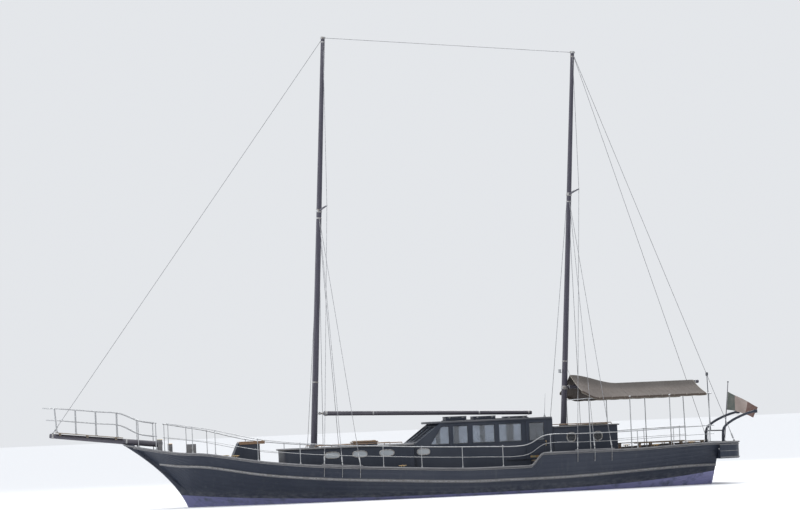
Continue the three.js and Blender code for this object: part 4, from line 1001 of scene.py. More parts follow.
def awning_section(x, count=56):
    """Half of the awning's middle surface across the boat at one x, from the ridge to its hanging hem.

    With t from 0 at the ridge to 1 over the edge tube, z = ridge + (edge - ridge) t - 4 sag t (1 - t), plus
    folds that run out from the ridge and grow with t, and a rise of the fore corners. Past the tube the cloth
    turns down over a 20 mm round and hangs 70 mm, deeper between the eyelets: 12 mm |sin(pi s / pitch)|.
    """
    ridge = lifted_ridge(x)
    tube_top = FRAME["z"] + FRAME["tube"] + 0.0025
    along_edge = AWNING["fore"] - x
    corner = 0.26 * ease(-5.5, AWNING["fore"], x) ** 2
    t = np.linspace(0, 1, count)
    sag = 0.05 + 0.02 * math.sin(math.pi * along_edge / 1.55) ** 2
    z = ridge + (tube_top + corner - ridge) * t - 4 * sag * t * (1 - t)
    folds = np.sin(2 * math.pi * (along_edge * 1.9 + 0.5 * t))
    folds += 0.6 * np.sin(2 * math.pi * (along_edge * 4.3 - t))
    z += 0.007 * folds * np.sin(math.pi * t) * t
    y = t * FRAME["y"]
    turn = np.linspace(0.15, 1, 6) * math.pi / 2
    round_y = FRAME["y"] + 0.021 * np.sin(turn)
    round_z = tube_top + corner - 0.021 * (1 - np.cos(turn))
    hang = (0.058 + 0.012 * abs(math.sin(math.pi * along_edge / EYELETS))) * np.linspace(0.25, 1, 5)
    y = np.concatenate([y, round_y, round_y[-1] + 0 * hang])
    z = np.concatenate([z, round_z, round_z[-1] - hang])
    return np.stack([np.full(len(y), x), y, z], axis=-1)


def two_sided(middle, normal, half_thick):
    """Thin sheet: its middle surface moved one way along the normals, and back along the other way."""
    normal = normal / np.linalg.norm(normal, axis=-1, keepdims=True)
    upper, lower = middle + half_thick * normal, middle - half_thick * normal
    return skin(np.concatenate([lower, upper[:, ::-1]], axis=1))


def across_boat(half):
    """A line from the centreline out to port, continued on the starboard side."""
    return np.concatenate([half[::-1], half[1:] * np.array([1, -1, 1.0])])


def make_awning():
    """One sheet of canvas with bolt ropes in its hems, sewn seams, lacing and a hoist to the mast."""
    xs = np.linspace(AWNING["fore"], AWNING["aft"], 150)
    rows = np.array([across_boat(awning_section(x)) for x in xs])
    slope = np.gradient(rows, axis=1)
    normal = np.stack([0 * slope[..., 0], -slope[..., 2], slope[..., 1]], axis=-1)
    cloth = piece("awning_cloth", [two_sided(rows, normal, 0.0015)], awning_mat, "awning_cloth", crease=70)
    hems = [pipe(rows[end][::2], 0.0075, 8) for end in (0, -1)]
    hems += [pipe(rows[:, side], 0.0065, 8) for side in (0, -1)]
    seams = []
    for x in np.arange(-5.6, -9.2, -0.92):
        seams.append(pipe(across_boat(awning_section(x)) + [0, 0, 0.0022], 0.0025, 6))
    ties = []
    round_tube = circle(16) * (0.031, 0.029) + (FRAME["y"], FRAME["z"])
    for x in np.arange(-4.9, -9.35, -EYELETS):
        for turn in (-0.012, 0.012):
            ties.append(pipe(np.column_stack([np.full(16, x + turn), round_tube]), 0.004, 6, True))
    hem = piece("awning_bolt_rope", hems, *ROPE)
    stitched = piece("awning_seams", seams, awning_mat, "awning_cloth")
    lacing = piece("awning_lacing", both(ties), *ROPE)
    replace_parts(cloth, "awning")
    apex = np.array([AWNING["fore"], 0.0, lifted_ridge(AWNING["fore"])])
    piece("awning_hoist", [straight(apex, mast_at(MIZZEN, 2.35), 0.006, sides=8)], *ROPE)


def make_mizzen_boom():
    """Tapered spar from a jaw at the mast to beyond the awning, with end bands and a sheave."""
    heel = np.array([MIZZEN_BOOM["heel_x"], 0, MIZZEN_BOOM["top"] - 0.073])
    tip = np.array([MIZZEN_BOOM["tip_x"], 0, MIZZEN_BOOM["top"] - 0.065])
    pole = pipe([heel, tip, tip - [0.02, 0, 0]], [*MIZZEN_BOOM["radius"], 0.045], 28)
    made = piece("mizzen_boom_spar", [pole], *SPAR)
    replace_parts(made, "mizzen_boom")
    profile = [(0.069, -0.02), (0.0725, -0.016), (0.0725, 0.016), (0.069, 0.02)]
    bands = []
    for x in (-4.66, -9.35, -9.5):
        centre = heel + (tip - heel) * (x - heel[0]) / (tip[0] - heel[0])
        bands.append(turned(profile, centre, (1, 0, 0)))
    collar = mast_ring(MIZZEN, MIZZEN_BOOM["top"] - 0.16 - MIZZEN["foot"][1], 0.14, 0.012)
    piece("mizzen_boom_bands", [*bands, collar], *IRON)


STAFF = {"foot": 1.586, "head": 3.77, "lean": 0.107, "foot_x": -10.535}
STAFF_BALL = [(0.004, -0.005), (0.022, 0.008), (0.03, 0.03), (0.022, 0.052), (0.004, 0.062)]
STAFF_SOCKET = [(0.055, 0), (0.055, 0.008), (0.03, 0.016), (0.027, 0.12), (0.0215, 0.122)]
# Heights of the flag's lower and upper corner at the staff
HOIST = (2.74, 3.42)


def staff_x(z):
    """Where the leaning flagstaff's axis is at a height."""
    return STAFF["foot_x"] - (z - TAFFRAIL_TOP) * STAFF["lean"]


def make_flagstaff():
    """Leaning tapered pole with a ball on its head, in a socket on the taffrail."""
    heights = np.linspace(STAFF["foot"], STAFF["head"], 12)
    pole = pipe([(staff_x(z), 0, z) for z in heights], np.linspace(0.021, 0.013, 12), 18)
    ball = turned(STAFF_BALL, (staff_x(STAFF["head"]), 0, STAFF["head"] - 0.01))
    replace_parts(piece("flagstaff_spar", [pole, ball], spar_mat, "spar_paint"), "flagstaff")
    foot = (staff_x(TAFFRAIL_TOP), 0, TAFFRAIL_TOP + 0.002)
    piece("flagstaff_socket", [turned(STAFF_SOCKET, foot)], *STEEL)


def make_flag():
    """Flag drooping aft from its staff: P = (1 - v) low(u) + v high(u), two given curves.

    Folds push it sideways by 55 mm sqrt(u) sin(2 pi (1.7 u + 0.45 v)) and a finer wave of 15 mm.
    """
    low_z, high_z = HOIST
    high = smooth_path([(staff_x(high_z) - 0.02, high_z), (-11.0, 3.28), (-11.5, 3.02), (-11.87, 2.78)], 20)
    low = smooth_path([(staff_x(low_z) - 0.02, low_z), (-11.0, 2.68), (-11.36, 2.55), (-11.7, 2.4)], 20)
    count, rows = len(high), 28
    u = np.linspace(0, 1, count)[:, None]
    v = np.linspace(0, 1, rows)[None, :]
    flat = low[:, None] * (1 - v[..., None]) + high[:, None] * v[..., None]
    push = 0.055 * np.sqrt(u) * np.sin(2 * math.pi * (1.7 * u + 0.45 * v))
    push = push + 0.015 * u * np.sin(2 * math.pi * (4.1 * u - 0.8 * v))
    middle = np.stack([flat[..., 0], push + 0 * v, flat[..., 1]], axis=-1)
    normal = np.cross(np.gradient(middle, axis=0), np.gradient(middle, axis=1))
    cloth = piece("flag_cloth", [two_sided(middle, normal, 0.001)], flag_mat, "flag_cloth", crease=70)
    share = np.repeat(np.linspace(0, 1, count), rows * 2)
    fly = cloth.data.attributes.new("fly", "FLOAT", "POINT")
    fly.data.foreach_set("value", share.astype(np.float32))
    toggles = []
    for z in (low_z + 0.02, high_z - 0.02):
        ring = circle(12) * (0.022, 0.019) + (staff_x(z) - 0.006, 0)
        toggles.append(pipe(at_height(ring, z), 0.003, 6, True))
    tied = piece("flag_toggles", toggles, rope_mat, "flag_cloth")
    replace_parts(cloth, "flag")


def flag_bands():
    """Three muted bands along the fly, read from the mesh's own fly attribute, over a fine weave."""
    recipe = Recipe("flag_bunting", Sheen_Weight=0.2, Specular_IOR_Level=0.2)
    fly = recipe.node("ShaderNodeAttribute", attribute_name="fly").outputs["Fac"]
    first = recipe.math("GREATER_THAN", fly, 0.34)
    second = recipe.math("GREATER_THAN", fly, 0.67)
    pair = recipe.mix(first, (0.105, 0.12, 0.108), (0.34, 0.28, 0.255))
    color = recipe.mix(second, pair, (0.15, 0.088, 0.075))
    grime = recipe.span(recipe.noise(5.0, detail=5), 0.45, 0.75)
    fine = recipe.noise(180.0, (1, 1, 0.3))
    dulled = recipe.mix(recipe.times(grime, 0.35), color, (0.24, 0.22, 0.2))
    return recipe.finish(dulled, recipe.span(fine, 0.3, 0.7, 0.75, 0.95), fine, 0.2, 0.0008)


flag_mat = flag_bands()
make_mizzen_boom()
make_awning()
make_flagstaff()
make_flag()

# Standing rigging

WIRE = 0.009
BARREL = [
    (0.008, 0.05), (0.017, 0.06), (0.021, 0.08), (0.021, 0.2), (0.017, 0.22),
    (0.008, 0.23), (0.0105, 0.26), (0.0105, 0.33), (0.006, 0.345),
]
FORK = [(0.013, -0.015), (0.017, -0.008), (0.017, 0.04), (0.009, 0.055)]
CLEVIS = [(0.008, -0.028), (0.012, -0.022), (0.012, 0.022), (0.008, 0.028)]
SPREADER_CAP = [(0.01, -0.022), (0.016, -0.014), (0.016, 0.014), (0.01, 0.022)]
FORESTAY_X = 14.71
BACKSTAY_FOOT = (-10.38, 2.165, 1.6)


def turnbuckle(low, towards, size):
    """Rigging screw: a fork, a barrel with rounded ends and a clevis pin, along the line to a point."""
    low = np.asarray(low, float)
    axis = np.asarray(towards, float) - low
    axis = axis / np.linalg.norm(axis)
    body = turned(size * np.array(BARREL), low, axis, 16)
    fork = turned(np.array(FORK) * (size, 1), low, axis, 12)
    pin = turned(CLEVIS, low, np.cross(axis, [1, 0, 0]), 12)
    return [body, fork, pin]


def make_shrouds(name, mast, xs):
    """Cap shroud over the spreader's tip and two lowers a side, on rigging screws over a channel plank."""
    wires, screws, straps = [], [], []
    spread = mast_at(mast, mast["spreader"])
    tip = spread + np.array(SPREADER_TIP) + [0, 0.028, 0.01]
    hounds = mast_at(mast, mast["spreader"] - 0.25) + [0, 0.1, 0]
    head = mast_at(mast, mast["length"] - 0.16) + [0, 0.075, 0]
    for x, top in zip(xs, (tip, hounds, hounds)):
        y, z = at_rail(x)
        low = np.array([x, y + 0.02, z + 0.055])
        wires.append(straight(low + (top - low) * 0.025, top, WIRE, sides=10))
        screws.extend(turnbuckle(low, top, 1.3))
        strap_foot = (x, half_breadth(x, z - 0.3) + 0.012, z - 0.42)
        straps.append(straight((x, y + 0.062, z + 0.035), strap_foot, 0.011, sides=8))
        straps.append(turned([(0.03, -0.006), (0.03, 0.006)], low - [0, 0, 0.012], sides=12))
    wires.append(straight(tip, head, WIRE, sides=10))
    screws.append(turned(SPREADER_CAP, tip, sides=12))
    plank = rounded(0.08, 0.04, 0.012) - np.array([0.02, 0])
    channel = run_along(np.linspace(xs[2] - 0.09, xs[0] + 0.09, 24), plank, at_rail)
    made = piece(name + "_wires", both(wires), *STAY_WIRE)
    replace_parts(made, name + "_port", name + "_starboard")
    piece(name + "_screws", both(screws), *STEEL)
    piece(name + "_channels", both([channel]), *RAIL_PAINT)
    piece(name + "_straps", both(straps), *IRON)


def make_stays():
    """Forestay to the sprit, the stay between the mastheads, and two backstays to the taffrail."""
    fore = mast_at(FOREMAST, FOREMAST["length"] - 0.02)
    aft = mast_at(MIZZEN, MIZZEN["length"] - 0.02)
    foot = np.array([FORESTAY_X, 0, sprit_z(FORESTAY_X + 0.03) + 0.1])
    wire = straight(foot + (fore - foot) * 0.012, fore, WIRE, sides=10)
    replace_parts(piece("forestay_wire", [wire], *STAY_WIRE), "forestay")
    stays = [straight(fore, aft, WIRE, sides=10)]
    screws = turnbuckle(foot, fore, 1.4)
    eyes = [block(foot - [0.03, 0.018, 0.03], foot + [0.03, 0.018, 0.03], 0.006)]
    for side in (1, -1):
        low = np.array(BACKSTAY_FOOT) * [1, side, 1]
        stays.append(straight(low + (aft - low) * 0.02, aft, WIRE, sides=10))
        screws.extend(turnbuckle(low, aft, 1.3))
        eyes.append(block(low - [0.04, 0.04, 0.0295], low + [0.04, 0.04, -0.016], 0.004))
        eyes.append(block(low - [0.03, 0.008, 0.02], low + [0.03, 0.008, 0.025], 0.004))
    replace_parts(piece("head_stay_wires", stays, *STAY_WIRE), "head_stays")
    piece("stay_screws", screws, *STEEL)
    piece("stay_eyes", eyes, *IRON)


make_shrouds("shrouds_fore", FOREMAST, (5.05, 4.4, 3.75))
make_shrouds("shrouds_mizzen", MIZZEN, (-4.3, -4.95, -5.6))
make_stays()

# Wheelhouse, cabins and what stands on them

HOUSE = {"fore": 1.55, "half": 1.65, "rake_foot": 1.95, "rake_top": 2.6997, "raked_by": 1.0}
HOUSE_RAKE = HOUSE["raked_by"] / (HOUSE["rake_top"] - HOUSE["rake_foot"])
SILL, HEAD = 1.91, 2.58
FRONT_PANES = {"middles": (-1.01, 0.0, 1.01), "half": 0.46, "low": 2.08, "high": 0.5}
DOOR = {"leaf": 1.698, "aft": -3.31, "fore": -2.75, "grip_x": -3.37}
TRUNK = {"aft": 1.6, "half": 1.9, "slope": 0.0275}
# Half plan of the trunk cabin's eased front, from its side to the centreline
TRUNK_FRONT = [
    (4.6, 1.8205), (4.85, 1.815), (5.1, 1.811), (5.35, 1.807), (5.57, 1.797), (5.75, 1.755), (5.92, 1.665),
    (6.06, 1.56), (6.175, 1.43), (6.255, 1.27), (6.3, 1.08), (6.32, 0.85), (6.33, 0.6), (6.334, 0.3),
]


def grown(outline, out):
    """Closed outline moved outwards: each corner goes to where its two sides meet once both have moved."""
    points = np.asarray(outline, float)
    after = np.roll(points, -1, 0)
    ahead = (after - points) / np.linalg.norm(after - points, axis=1, keepdims=True)
    turn = np.sign((points[:, 0] * after[:, 1] - points[:, 1] * after[:, 0]).sum())
    normal = turn * np.stack([ahead[:, 1], -ahead[:, 0]], axis=1)
    middle = normal + np.roll(normal, 1, 0)
    return points + out * middle * (2 / (middle ** 2).sum(axis=1, keepdims=True))


def softened(outline, radius, steps=4):
    """Closed outline whose corners are cut by quadratic curves that start the radius away on both sides."""
    points = np.asarray(outline, float)
    ring = []
    for before, corner, after in zip(np.roll(points, 1, 0), points, np.roll(points, -1, 0)):
        start = corner + (before - corner) * min(0.45, radius / np.linalg.norm(before - corner))
        end = corner + (after - corner) * min(0.45, radius / np.linalg.norm(after - corner))
        for t in np.linspace(0, 1, steps + 1):
            ring.append(start * (1 - t) ** 2 + 2 * corner * t * (1 - t) + end * t * t)
    return np.array(ring)


def rectangle(x0, x1, z0, z1, corner):
    """Rectangle with softened corners."""
    return softened([(x0, z0), (x1, z0), (x1, z1), (x0, z1)], corner)


def raised(outline, rows, place=(0, 0, 0), across=(1, 0, 0), up=(0, 0, 1), normal=(0, 1, 0), solid=False):
    """The outline grown and lifted by each row's (outwards, proud), as a closed frame or as a solid.

    A point (a, b) of the grown outline lies at place + a across + b up + proud normal.
    """
    place, across, up = np.asarray(place, float), np.asarray(across, float), np.asarray(up, float)
    normal = np.asarray(normal, float)
    rings = []
    for out, proud in rows:
        flat = grown(outline, out)
        rings.append(place + flat[:, :1] * across + flat[:, 1:] * up + proud * normal)
    return skin(rings) if solid else ring_skin(rings)


LEVEL = {"across": (1, 0, 0), "up": (0, 1, 0), "normal": (0, 0, 1)}
# Sections of the window frames and seals, as rows of (outwards, proud)
LINING = [
    (0.038, -0.003), (0.034, 0.01), (0.028, 0.013), (0.004, 0.013), (-0.003, 0.009), (-0.003, -0.0445),
    (0.002, -0.0445), (0.002, -0.003),
]
TRIM = [(0.038, -0.003), (0.034, 0.01), (0.028, 0.013), (0.006, 0.013), (0.001, 0.008), (0.001, -0.003)]
SEAL = [(-0.0032, -0.0448), (-0.0032, -0.036), (-0.014, -0.039), (-0.018, -0.0448)]
SIDE_WINDOWS = [
    softened([(0.95, SILL), (0.52, HEAD), (0.23, HEAD), (0.23, SILL)], 0.025),
    rectangle(-0.47, 0.09, SILL, HEAD, 0.025),
    rectangle(-1.47, -0.64, SILL, HEAD, 0.025),
    rectangle(-2.48, -1.63, SILL, HEAD, 0.025),
]


def house_front_x(z):
    """Raked front wall's outer face: upright to the rake's foot, then a straight slope aft to the roof."""
    return HOUSE["fore"] - max(0.0, z - HOUSE["rake_foot"]) * HOUSE_RAKE


def make_window_trims():
    """Frames and seals round the side windows, the last one flush where the door slides."""
    at_side = {"place": (0, HOUSE["half"], 0)}
    flush = [(out, min(proud, 0.004)) for out, proud in LINING]
    frames = [raised(outline, LINING, **at_side) for outline in SIDE_WINDOWS[:3]]
    frames.append(raised(SIDE_WINDOWS[3], flush, **at_side))
    seals = [raised(outline, SEAL, **at_side) for outline in SIDE_WINDOWS]
    piece("wheelhouse_window_frames", [*both(frames), *windscreen_frames()], *HOUSE_PAINT)
    piece("wheelhouse_window_seals", both(seals), *RUBBER)


def raked_plane():
    """On the raked front: the panes' foot on the centreline, the way up the slope and the way out of it."""
    long = math.hypot(1.0, HOUSE_RAKE)
    up, normal = np.array([-HOUSE_RAKE, 0, 1.0]) / long, np.array([1.0, 0, HOUSE_RAKE]) / long
    return np.array([house_front_x(FRONT_PANES["low"]), 0, FRONT_PANES["low"]]), up, normal


def windscreen_frames():
    """Raised frames round the three panes in front."""
    low, up, normal = raked_plane()
    slant = FRONT_PANES["high"] / up[2]
    half = FRONT_PANES["half"]
    outlines = [rectangle(y - half, y + half, 0.0, slant, 0.025) for y in FRONT_PANES["middles"]]
    return [raised(outline, TRIM, low, (0, 1, 0), up, normal) for outline in outlines]


def make_wipers():
    """A wiper under each pane in front: a turned spindle, a tapered arm and a blade."""
    low, up, normal = raked_plane()
    wipers = []
    for y in FRONT_PANES["middles"]:
        spindle = low + [0, y, 0] - 0.055 * up + 0.01 * normal
        middle = spindle + 0.42 * up + [0, 0.2, 0] + 0.02 * normal
        blade = middle - 0.014 * normal
        wipers.append(turned([(0.018, -0.012), (0.018, 0.012), (0.01, 0.026)], spindle, normal, 16))
        wipers.append(straight(spindle + 0.016 * normal, middle, 0.006, 0.004, 8))
        wipers.append(straight(blade - 0.23 * up, blade + 0.23 * up, 0.006, sides=6))
    piece("windscreen_wipers", wipers, *RUBBER)


def make_belts():
    """Two belts along each wall, broken where the door slides."""
    belts = []
    for z, out, high in ((1.845, 0.012, 0.03), (2.662, 0.01, 0.036)):
        for aft, fore in ((-3.64, -3.46), (-1.83, house_front_x(z + high) - 0.02)):
            belts.append(block((aft, HOUSE["half"] - 0.01, z), (fore, HOUSE["half"] + out, z + high), 0.006))
    piece("wheelhouse_belt_rails", both(belts), *HOUSE_PAINT)


def make_roof():
    """Roof with soft corners and rounded edges, and a drip rail under its eaves."""
    half = [(-3.65, 1.71), (0.5, 1.71), (0.82, 1.4), (0.9, 0.0)]
    plan = softened([*half, *[(x, -y) for x, y in half[-2::-1]]], 0.1)
    edge = [
        (-0.03, 2.7004), (-0.008, 2.703), (0, 2.712), (0, 2.75), (-0.006, 2.762), (-0.02, 2.7685),
        (-0.05, 2.77),
    ]
    shape = raised(plan, edge, solid=True, **LEVEL)
    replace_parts(piece("wheelhouse_roof_rounded", [shape], *ROOF_PAINT), "wheelhouse_roof")
    drip = pipe(at_height(grown(plan, -0.012), 2.698), 0.009, 8, True)
    piece("wheelhouse_drip_rail", [drip], *HOUSE_PAINT)


def make_lockers_and_aerial():
    """Three lockers with lids, hasps and hinges on two runners along the roof, and a whip aerial."""
    boxes, fittings = [], []
    # Columns: aft end, fore end, top
    for low, high, top in ((-2.95, -2.1, 2.85), (-1.75, -0.9, 2.905), (-0.65, 0.15, 2.935)):
        lid = top - 0.03
        boxes.append(block((low + 0.012, -0.408, 2.7755), (high - 0.012, 0.408, lid - 0.003), 0.012))
        boxes.append(block((low, -0.42, lid), (high, 0.42, top), 0.012))
        for x in (low + 0.15, high - 0.15):
            fittings.append(block((x - 0.03, 0.409, lid - 0.035), (x + 0.03, 0.418, lid + 0.012), 0.003))
            fittings.append(straight((x - 0.045, -0.42, lid), (x + 0.045, -0.42, lid), 0.008, sides=10))
    for y in (-0.3, 0.3):
        boxes.append(block((-3.0, y - 0.03, 2.7705), (0.2, y + 0.03, 2.797), 0.006))
    lockers = piece("roof_lockers_lidded", boxes, *HOUSE_PAINT)
    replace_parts(lockers, "roof_lockers")
    piece("roof_locker_fittings", fittings, *IRON)
    foot = [(0.05, 0), (0.05, 0.012), (0.032, 0.022), (0.03, 0.07), (0.014, 0.09)]
    base = turned(foot, (-3.45, 1.2, 2.7705))
    rod = pipe([(-3.45, 1.2, 2.84), (-3.48, 1.2, 3.25), (-3.51, 1.2, 3.648)], [0.009, 0.007, 0.004], 10)
    ferrule = turned([(0.012, 0), (0.015, 0.01), (0.015, 0.05), (0.01, 0.06)], (-3.4505, 1.2, 2.852))
    aerial = piece("whip_aerial", [base, rod, ferrule], *PLASTIC)
    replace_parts(aerial, "antenna")


def make_side_doors():
    """Frame, sunk panel, kick strip, bow handle and pane seal on each sliding door, riding with it."""
    leaf, aft, fore, grip_x = DOOR["leaf"], DOOR["aft"], DOOR["fore"], DOOR["grip_x"]
    pane = rectangle(aft, fore, SILL, HEAD, 0.025)
    panel = rectangle(aft, fore, 1.4, 1.83, 0.02)
    field = block((aft + 0.04, leaf - 0.002, 1.44), (fore - 0.04, leaf + 0.009, 1.79), 0.008)
    mouldings = [raised(pane, TRIM, (0, leaf, 0)), raised(panel, TRIM, (0, leaf, 0)), field]
    bow = ((0.001, 1.72), (0.04, 1.735), (0.048, 1.8), (0.04, 1.865), (0.001, 1.88))
    grip = smooth_path([(grip_x, leaf + out, z) for out, z in bow], 6)
    handle = [pipe(grip, 0.009, 12)]
    for z in (bow[0][1], bow[-1][1]):
        handle.append(turned([(0.022, 0), (0.022, 0.004), (0.014, 0.009)], (grip_x, leaf, z), (0, 1, 0), 16))
    handle.append(block((-3.3, leaf, 1.29), (-2.76, leaf + 0.003, 1.37), 0.001))
    lip = [(0.0, -0.012), (-0.014, -0.01), (-0.016, -0.0139), (0.0, -0.0139)]
    seal = raised(pane, lip, (0, leaf, 0))
    for name, side in SIDES:
        body = "door_" + name
        piece(body + "_mouldings", each(side, mouldings), *HOUSE_PAINT, body)
        piece(body + "_handle", each(side, handle), *BRONZE, body)
        piece(body + "_seal", [side(seal)], *RUBBER, body)


def oval(width, height):
    """Rounded oval: half its width times cos a and half its height times sin a, both to the power 0.75."""
    way = circle(32)
    return np.sign(way) * np.abs(way) ** 0.75 * (width / 2, height / 2)


PORT_PANE = [(0.0, -0.001), (-0.003, 0.0045), (-0.03, 0.0065)]
PORT_RIM = [(0.032, -0.002), (0.03, 0.009), (0.022, 0.014), (0.006, 0.014), (-0.004, 0.008), (-0.004, -0.002)]


def make_portlights():
    """Oval portlights along the trunk cabin, each a bolted rim round a curtained pane, and round ones aft."""
    rims, bolts, curtained, dark = [], [], [], []

    def port(panes, x, y, z, width, height, slope=0.0):
        """One portlight, on a wall that closes in by the slope."""
        across = np.array([1.0, -slope, 0]) / math.hypot(1, slope)
        normal = np.array([slope, 1.0, 0]) / math.hypot(1, slope)
        at = {"place": (x, y, z), "across": across, "normal": normal}
        rims.append(raised(oval(width, height), PORT_RIM, **at))
        panes.append(raised(oval(width, height), PORT_PANE, solid=True, **at))
        for angle in np.arange(8) * math.pi / 4 + math.pi / 8:
            spot = np.array([x, y, z]) + across * (width / 2 + 0.016) * math.cos(angle)
            spot = spot + np.array([0, 0, (height / 2 + 0.016) * math.sin(angle)]) + 0.013 * normal
            bolts.append(turned([(0.007, 0), (0.006, 0.003), (0.002, 0.0045)], spot, normal, 8))

    for x in (4.62, 3.61, 2.61):
        port(curtained, x, TRUNK["half"] - (x - TRUNK["aft"]) * TRUNK["slope"], 1.7, 0.5, 0.2, TRUNK["slope"])
    port(curtained, 1.22, HOUSE["half"], 1.68, 0.44, 0.2)
    for x in (-4.35, -5.35):
        port(dark, x, 1.6, 1.98, 0.3, 0.3)
    piece("portlight_rims", both(rims), *IRON)
    piece("portlight_panes", both(curtained), port_mat, "window_glass")
    piece("deckhouse_panes", both(dark), night_mat, "window_glass")
    piece("portlight_bolts", both(bolts), *BRONZE)


def hand_rail(points, height):
    """Timber grab rail: a round bar on turned feet, each foot under a point."""
    points = np.asarray(points, float)
    bar = pipe(smooth_path(points + [0, 0, height], 6), 0.017, 12)
    foot = [(0.022, 0), (0.018, 0.006), (0.012, 0.02), (0.012, height - 0.004)]
    return [bar, *[turned(foot, point, sides=12) for point in points]]


def trunk_plan(margin):
    """The trunk cabin's plan, from port aft round its eased front to starboard aft, moved out by a margin."""
    front = smooth_path([*TRUNK_FRONT, (6.335, 0.0), *[(x, -y) for x, y in TRUNK_FRONT[::-1]]], 4)
    plan = np.vstack([(TRUNK["aft"] + 0.002, 1.903), front, (TRUNK["aft"] + 0.002, -1.903)])
    step = np.gradient(plan, axis=0)
    outward = np.column_stack([-step[:, 1], step[:, 0]]) / np.linalg.norm(step, axis=1, keepdims=True)
    return plan + margin * outward


def make_trunk_top():
    """Rounded front wall and top of the trunk cabin.

    The top is the plan's offset curves at each height of its rounded edge, joined by rays to the opening for
    the skylight. The wall is one upright section carried round the plan from the deck to the top.
    """
    def closed_loop(margin, z):
        """The plan moved out, closed across its aft end, at a height."""
        plan = trunk_plan(margin)
        across = np.linspace(plan[-1, 1], plan[0, 1], 21)[1:-1]
        plan = np.vstack([plan, np.column_stack([np.full(len(across), plan[0, 0]), across])])
        return at_height(plan, z)

    edge = [
        (-0.02, 1.9425), (0.05, 1.9425), (0.06, 1.95), (0.062, 1.96), (0.062, 1.99), (0.056, 2.0),
        (0.04, 2.004),
    ]
    rows = [closed_loop(margin, z) for margin, z in edge]
    centre = np.array([3.2, 0.0])
    rays = rows[-1][:, :2] - centre
    opening = centre + rays / np.max(np.abs(rays) / (0.448, 0.418), axis=1, keepdims=True)
    rows += [at_height(opening, z) for z in (2.0045, 1.99)]
    piece("trunk_top_rounded", [ring_skin(rows)], *ROOF_PAINT)
    outer, inner = trunk_plan(0.0), trunk_plan(-0.04)
    front = outer[:, 0] > 4.8
    outer, inner = outer[front], inner[front]
    low, high = deck_z(outer[:, 0]) - 0.03, 1.944
    sides = [(outer, low), (outer, high), (inner, high), (inner, low)]
    wall = skin(np.stack([at_height(plan, z) for plan, z in sides], axis=1))
    piece("trunk_front_rounded", [wall], *HOUSE_PAINT)
    aft_top = block((-6.14, -1.63, 2.3985), (-3.66, 1.63, 2.4035), 0.0015)
    piece("deckhouse_top_paint", [aft_top], *ROOF_PAINT)


def make_nosings_and_grab_rails():
    """Half-round nosings round both cabin tops, and two timber grab rails on each."""
    nosing = pipe(at_height(trunk_plan(0.062), 1.974), 0.024, 12)
    eaves = [(-3.69, 1.652), (-6.13, 1.652), (-6.162, 1.62)]
    eaves += [(x, -y) for x, y in eaves[::-1]]
    aft_nosing = pipe([(x, y, 2.38) for x, y in eaves], 0.019, 12)
    piece("cabin_top_nosings", [nosing, aft_nosing], *RAIL_PAINT)
    trunk_feet = [(x, 1.62 - (x - 2.0) * TRUNK["slope"], 2.004) for x in (2.0, 2.65, 3.3, 3.95, 4.6, 5.2)]
    aft_feet = [(x, 1.5, 2.4) for x in (-5.9, -5.25, -4.6, -3.95)]
    rails = hand_rail(trunk_feet, 0.065) + hand_rail(aft_feet, 0.065)
    piece("cabin_grab_rails", both(rails), *TEAK)


def make_companion_doors():
    """Louvred doors in the deckhouse and the fore companion, knobs, the aft hatch on runners, and a grip."""
    doors, dark = [], []
    leaf = [(0, -0.002), (0, 0.022), (-0.006, 0.026)]
    knob = [(0.01, 0), (0.012, 0.012), (0.019, 0.02), (0.012, 0.034)]
    to_aft = {"place": (-6.1, 0, 0), "across": (0, 1, 0), "normal": (-1, 0, 0), "solid": True}
    for y in (-0.93, -0.57):
        doors.append(raised(rectangle(y - 0.175, y + 0.175, 1.34, 2.3, 0.015), leaf, **to_aft))
        for z in np.arange(1.46, 2.2, 0.055):
            doors.append(block((-6.139, y - 0.12, z), (-6.125, y + 0.12, z + 0.03), 0.006))
        knob_y = y + math.copysign(0.145, -0.75 - y)
        dark.append(turned(knob, (-6.126, knob_y, 1.82), (-1, 0, 0), 14))
    doors.append(block((-6.15, -1.16, 2.402), (-5.3, -0.34, 2.44), 0.014))
    for y in (-0.155, 0.155):
        doors.append(block((7.128, y - 0.145, 1.44), (7.1495, y + 0.145, 2.26), 0.006))
        for z in np.arange(1.52, 2.18, 0.055):
            doors.append(block((7.118, y - 0.11, z), (7.129, y + 0.11, z + 0.03), 0.005))
    piece("companion_doors", doors, *TEAK)
    for y in (-1.18, -0.32):
        dark.append(block((-6.15, y - 0.016, 2.4005), (-4.5, y + 0.016, 2.43), 0.005))
    piece("deckhouse_hatch_runners", dark, *BRONZE)
    grip = [straight((7.0, -0.12, 2.372), (7.0, 0.12, 2.372), 0.012, sides=12)]
    for y in (-0.11, 0.11):
        grip.append(turned([(0.018, 0), (0.012, 0.006), (0.01, 0.032)], (7.0, y, 2.3406), sides=12))
    piece("companion_slide_grip", grip, *BRONZE, "companion_slide")


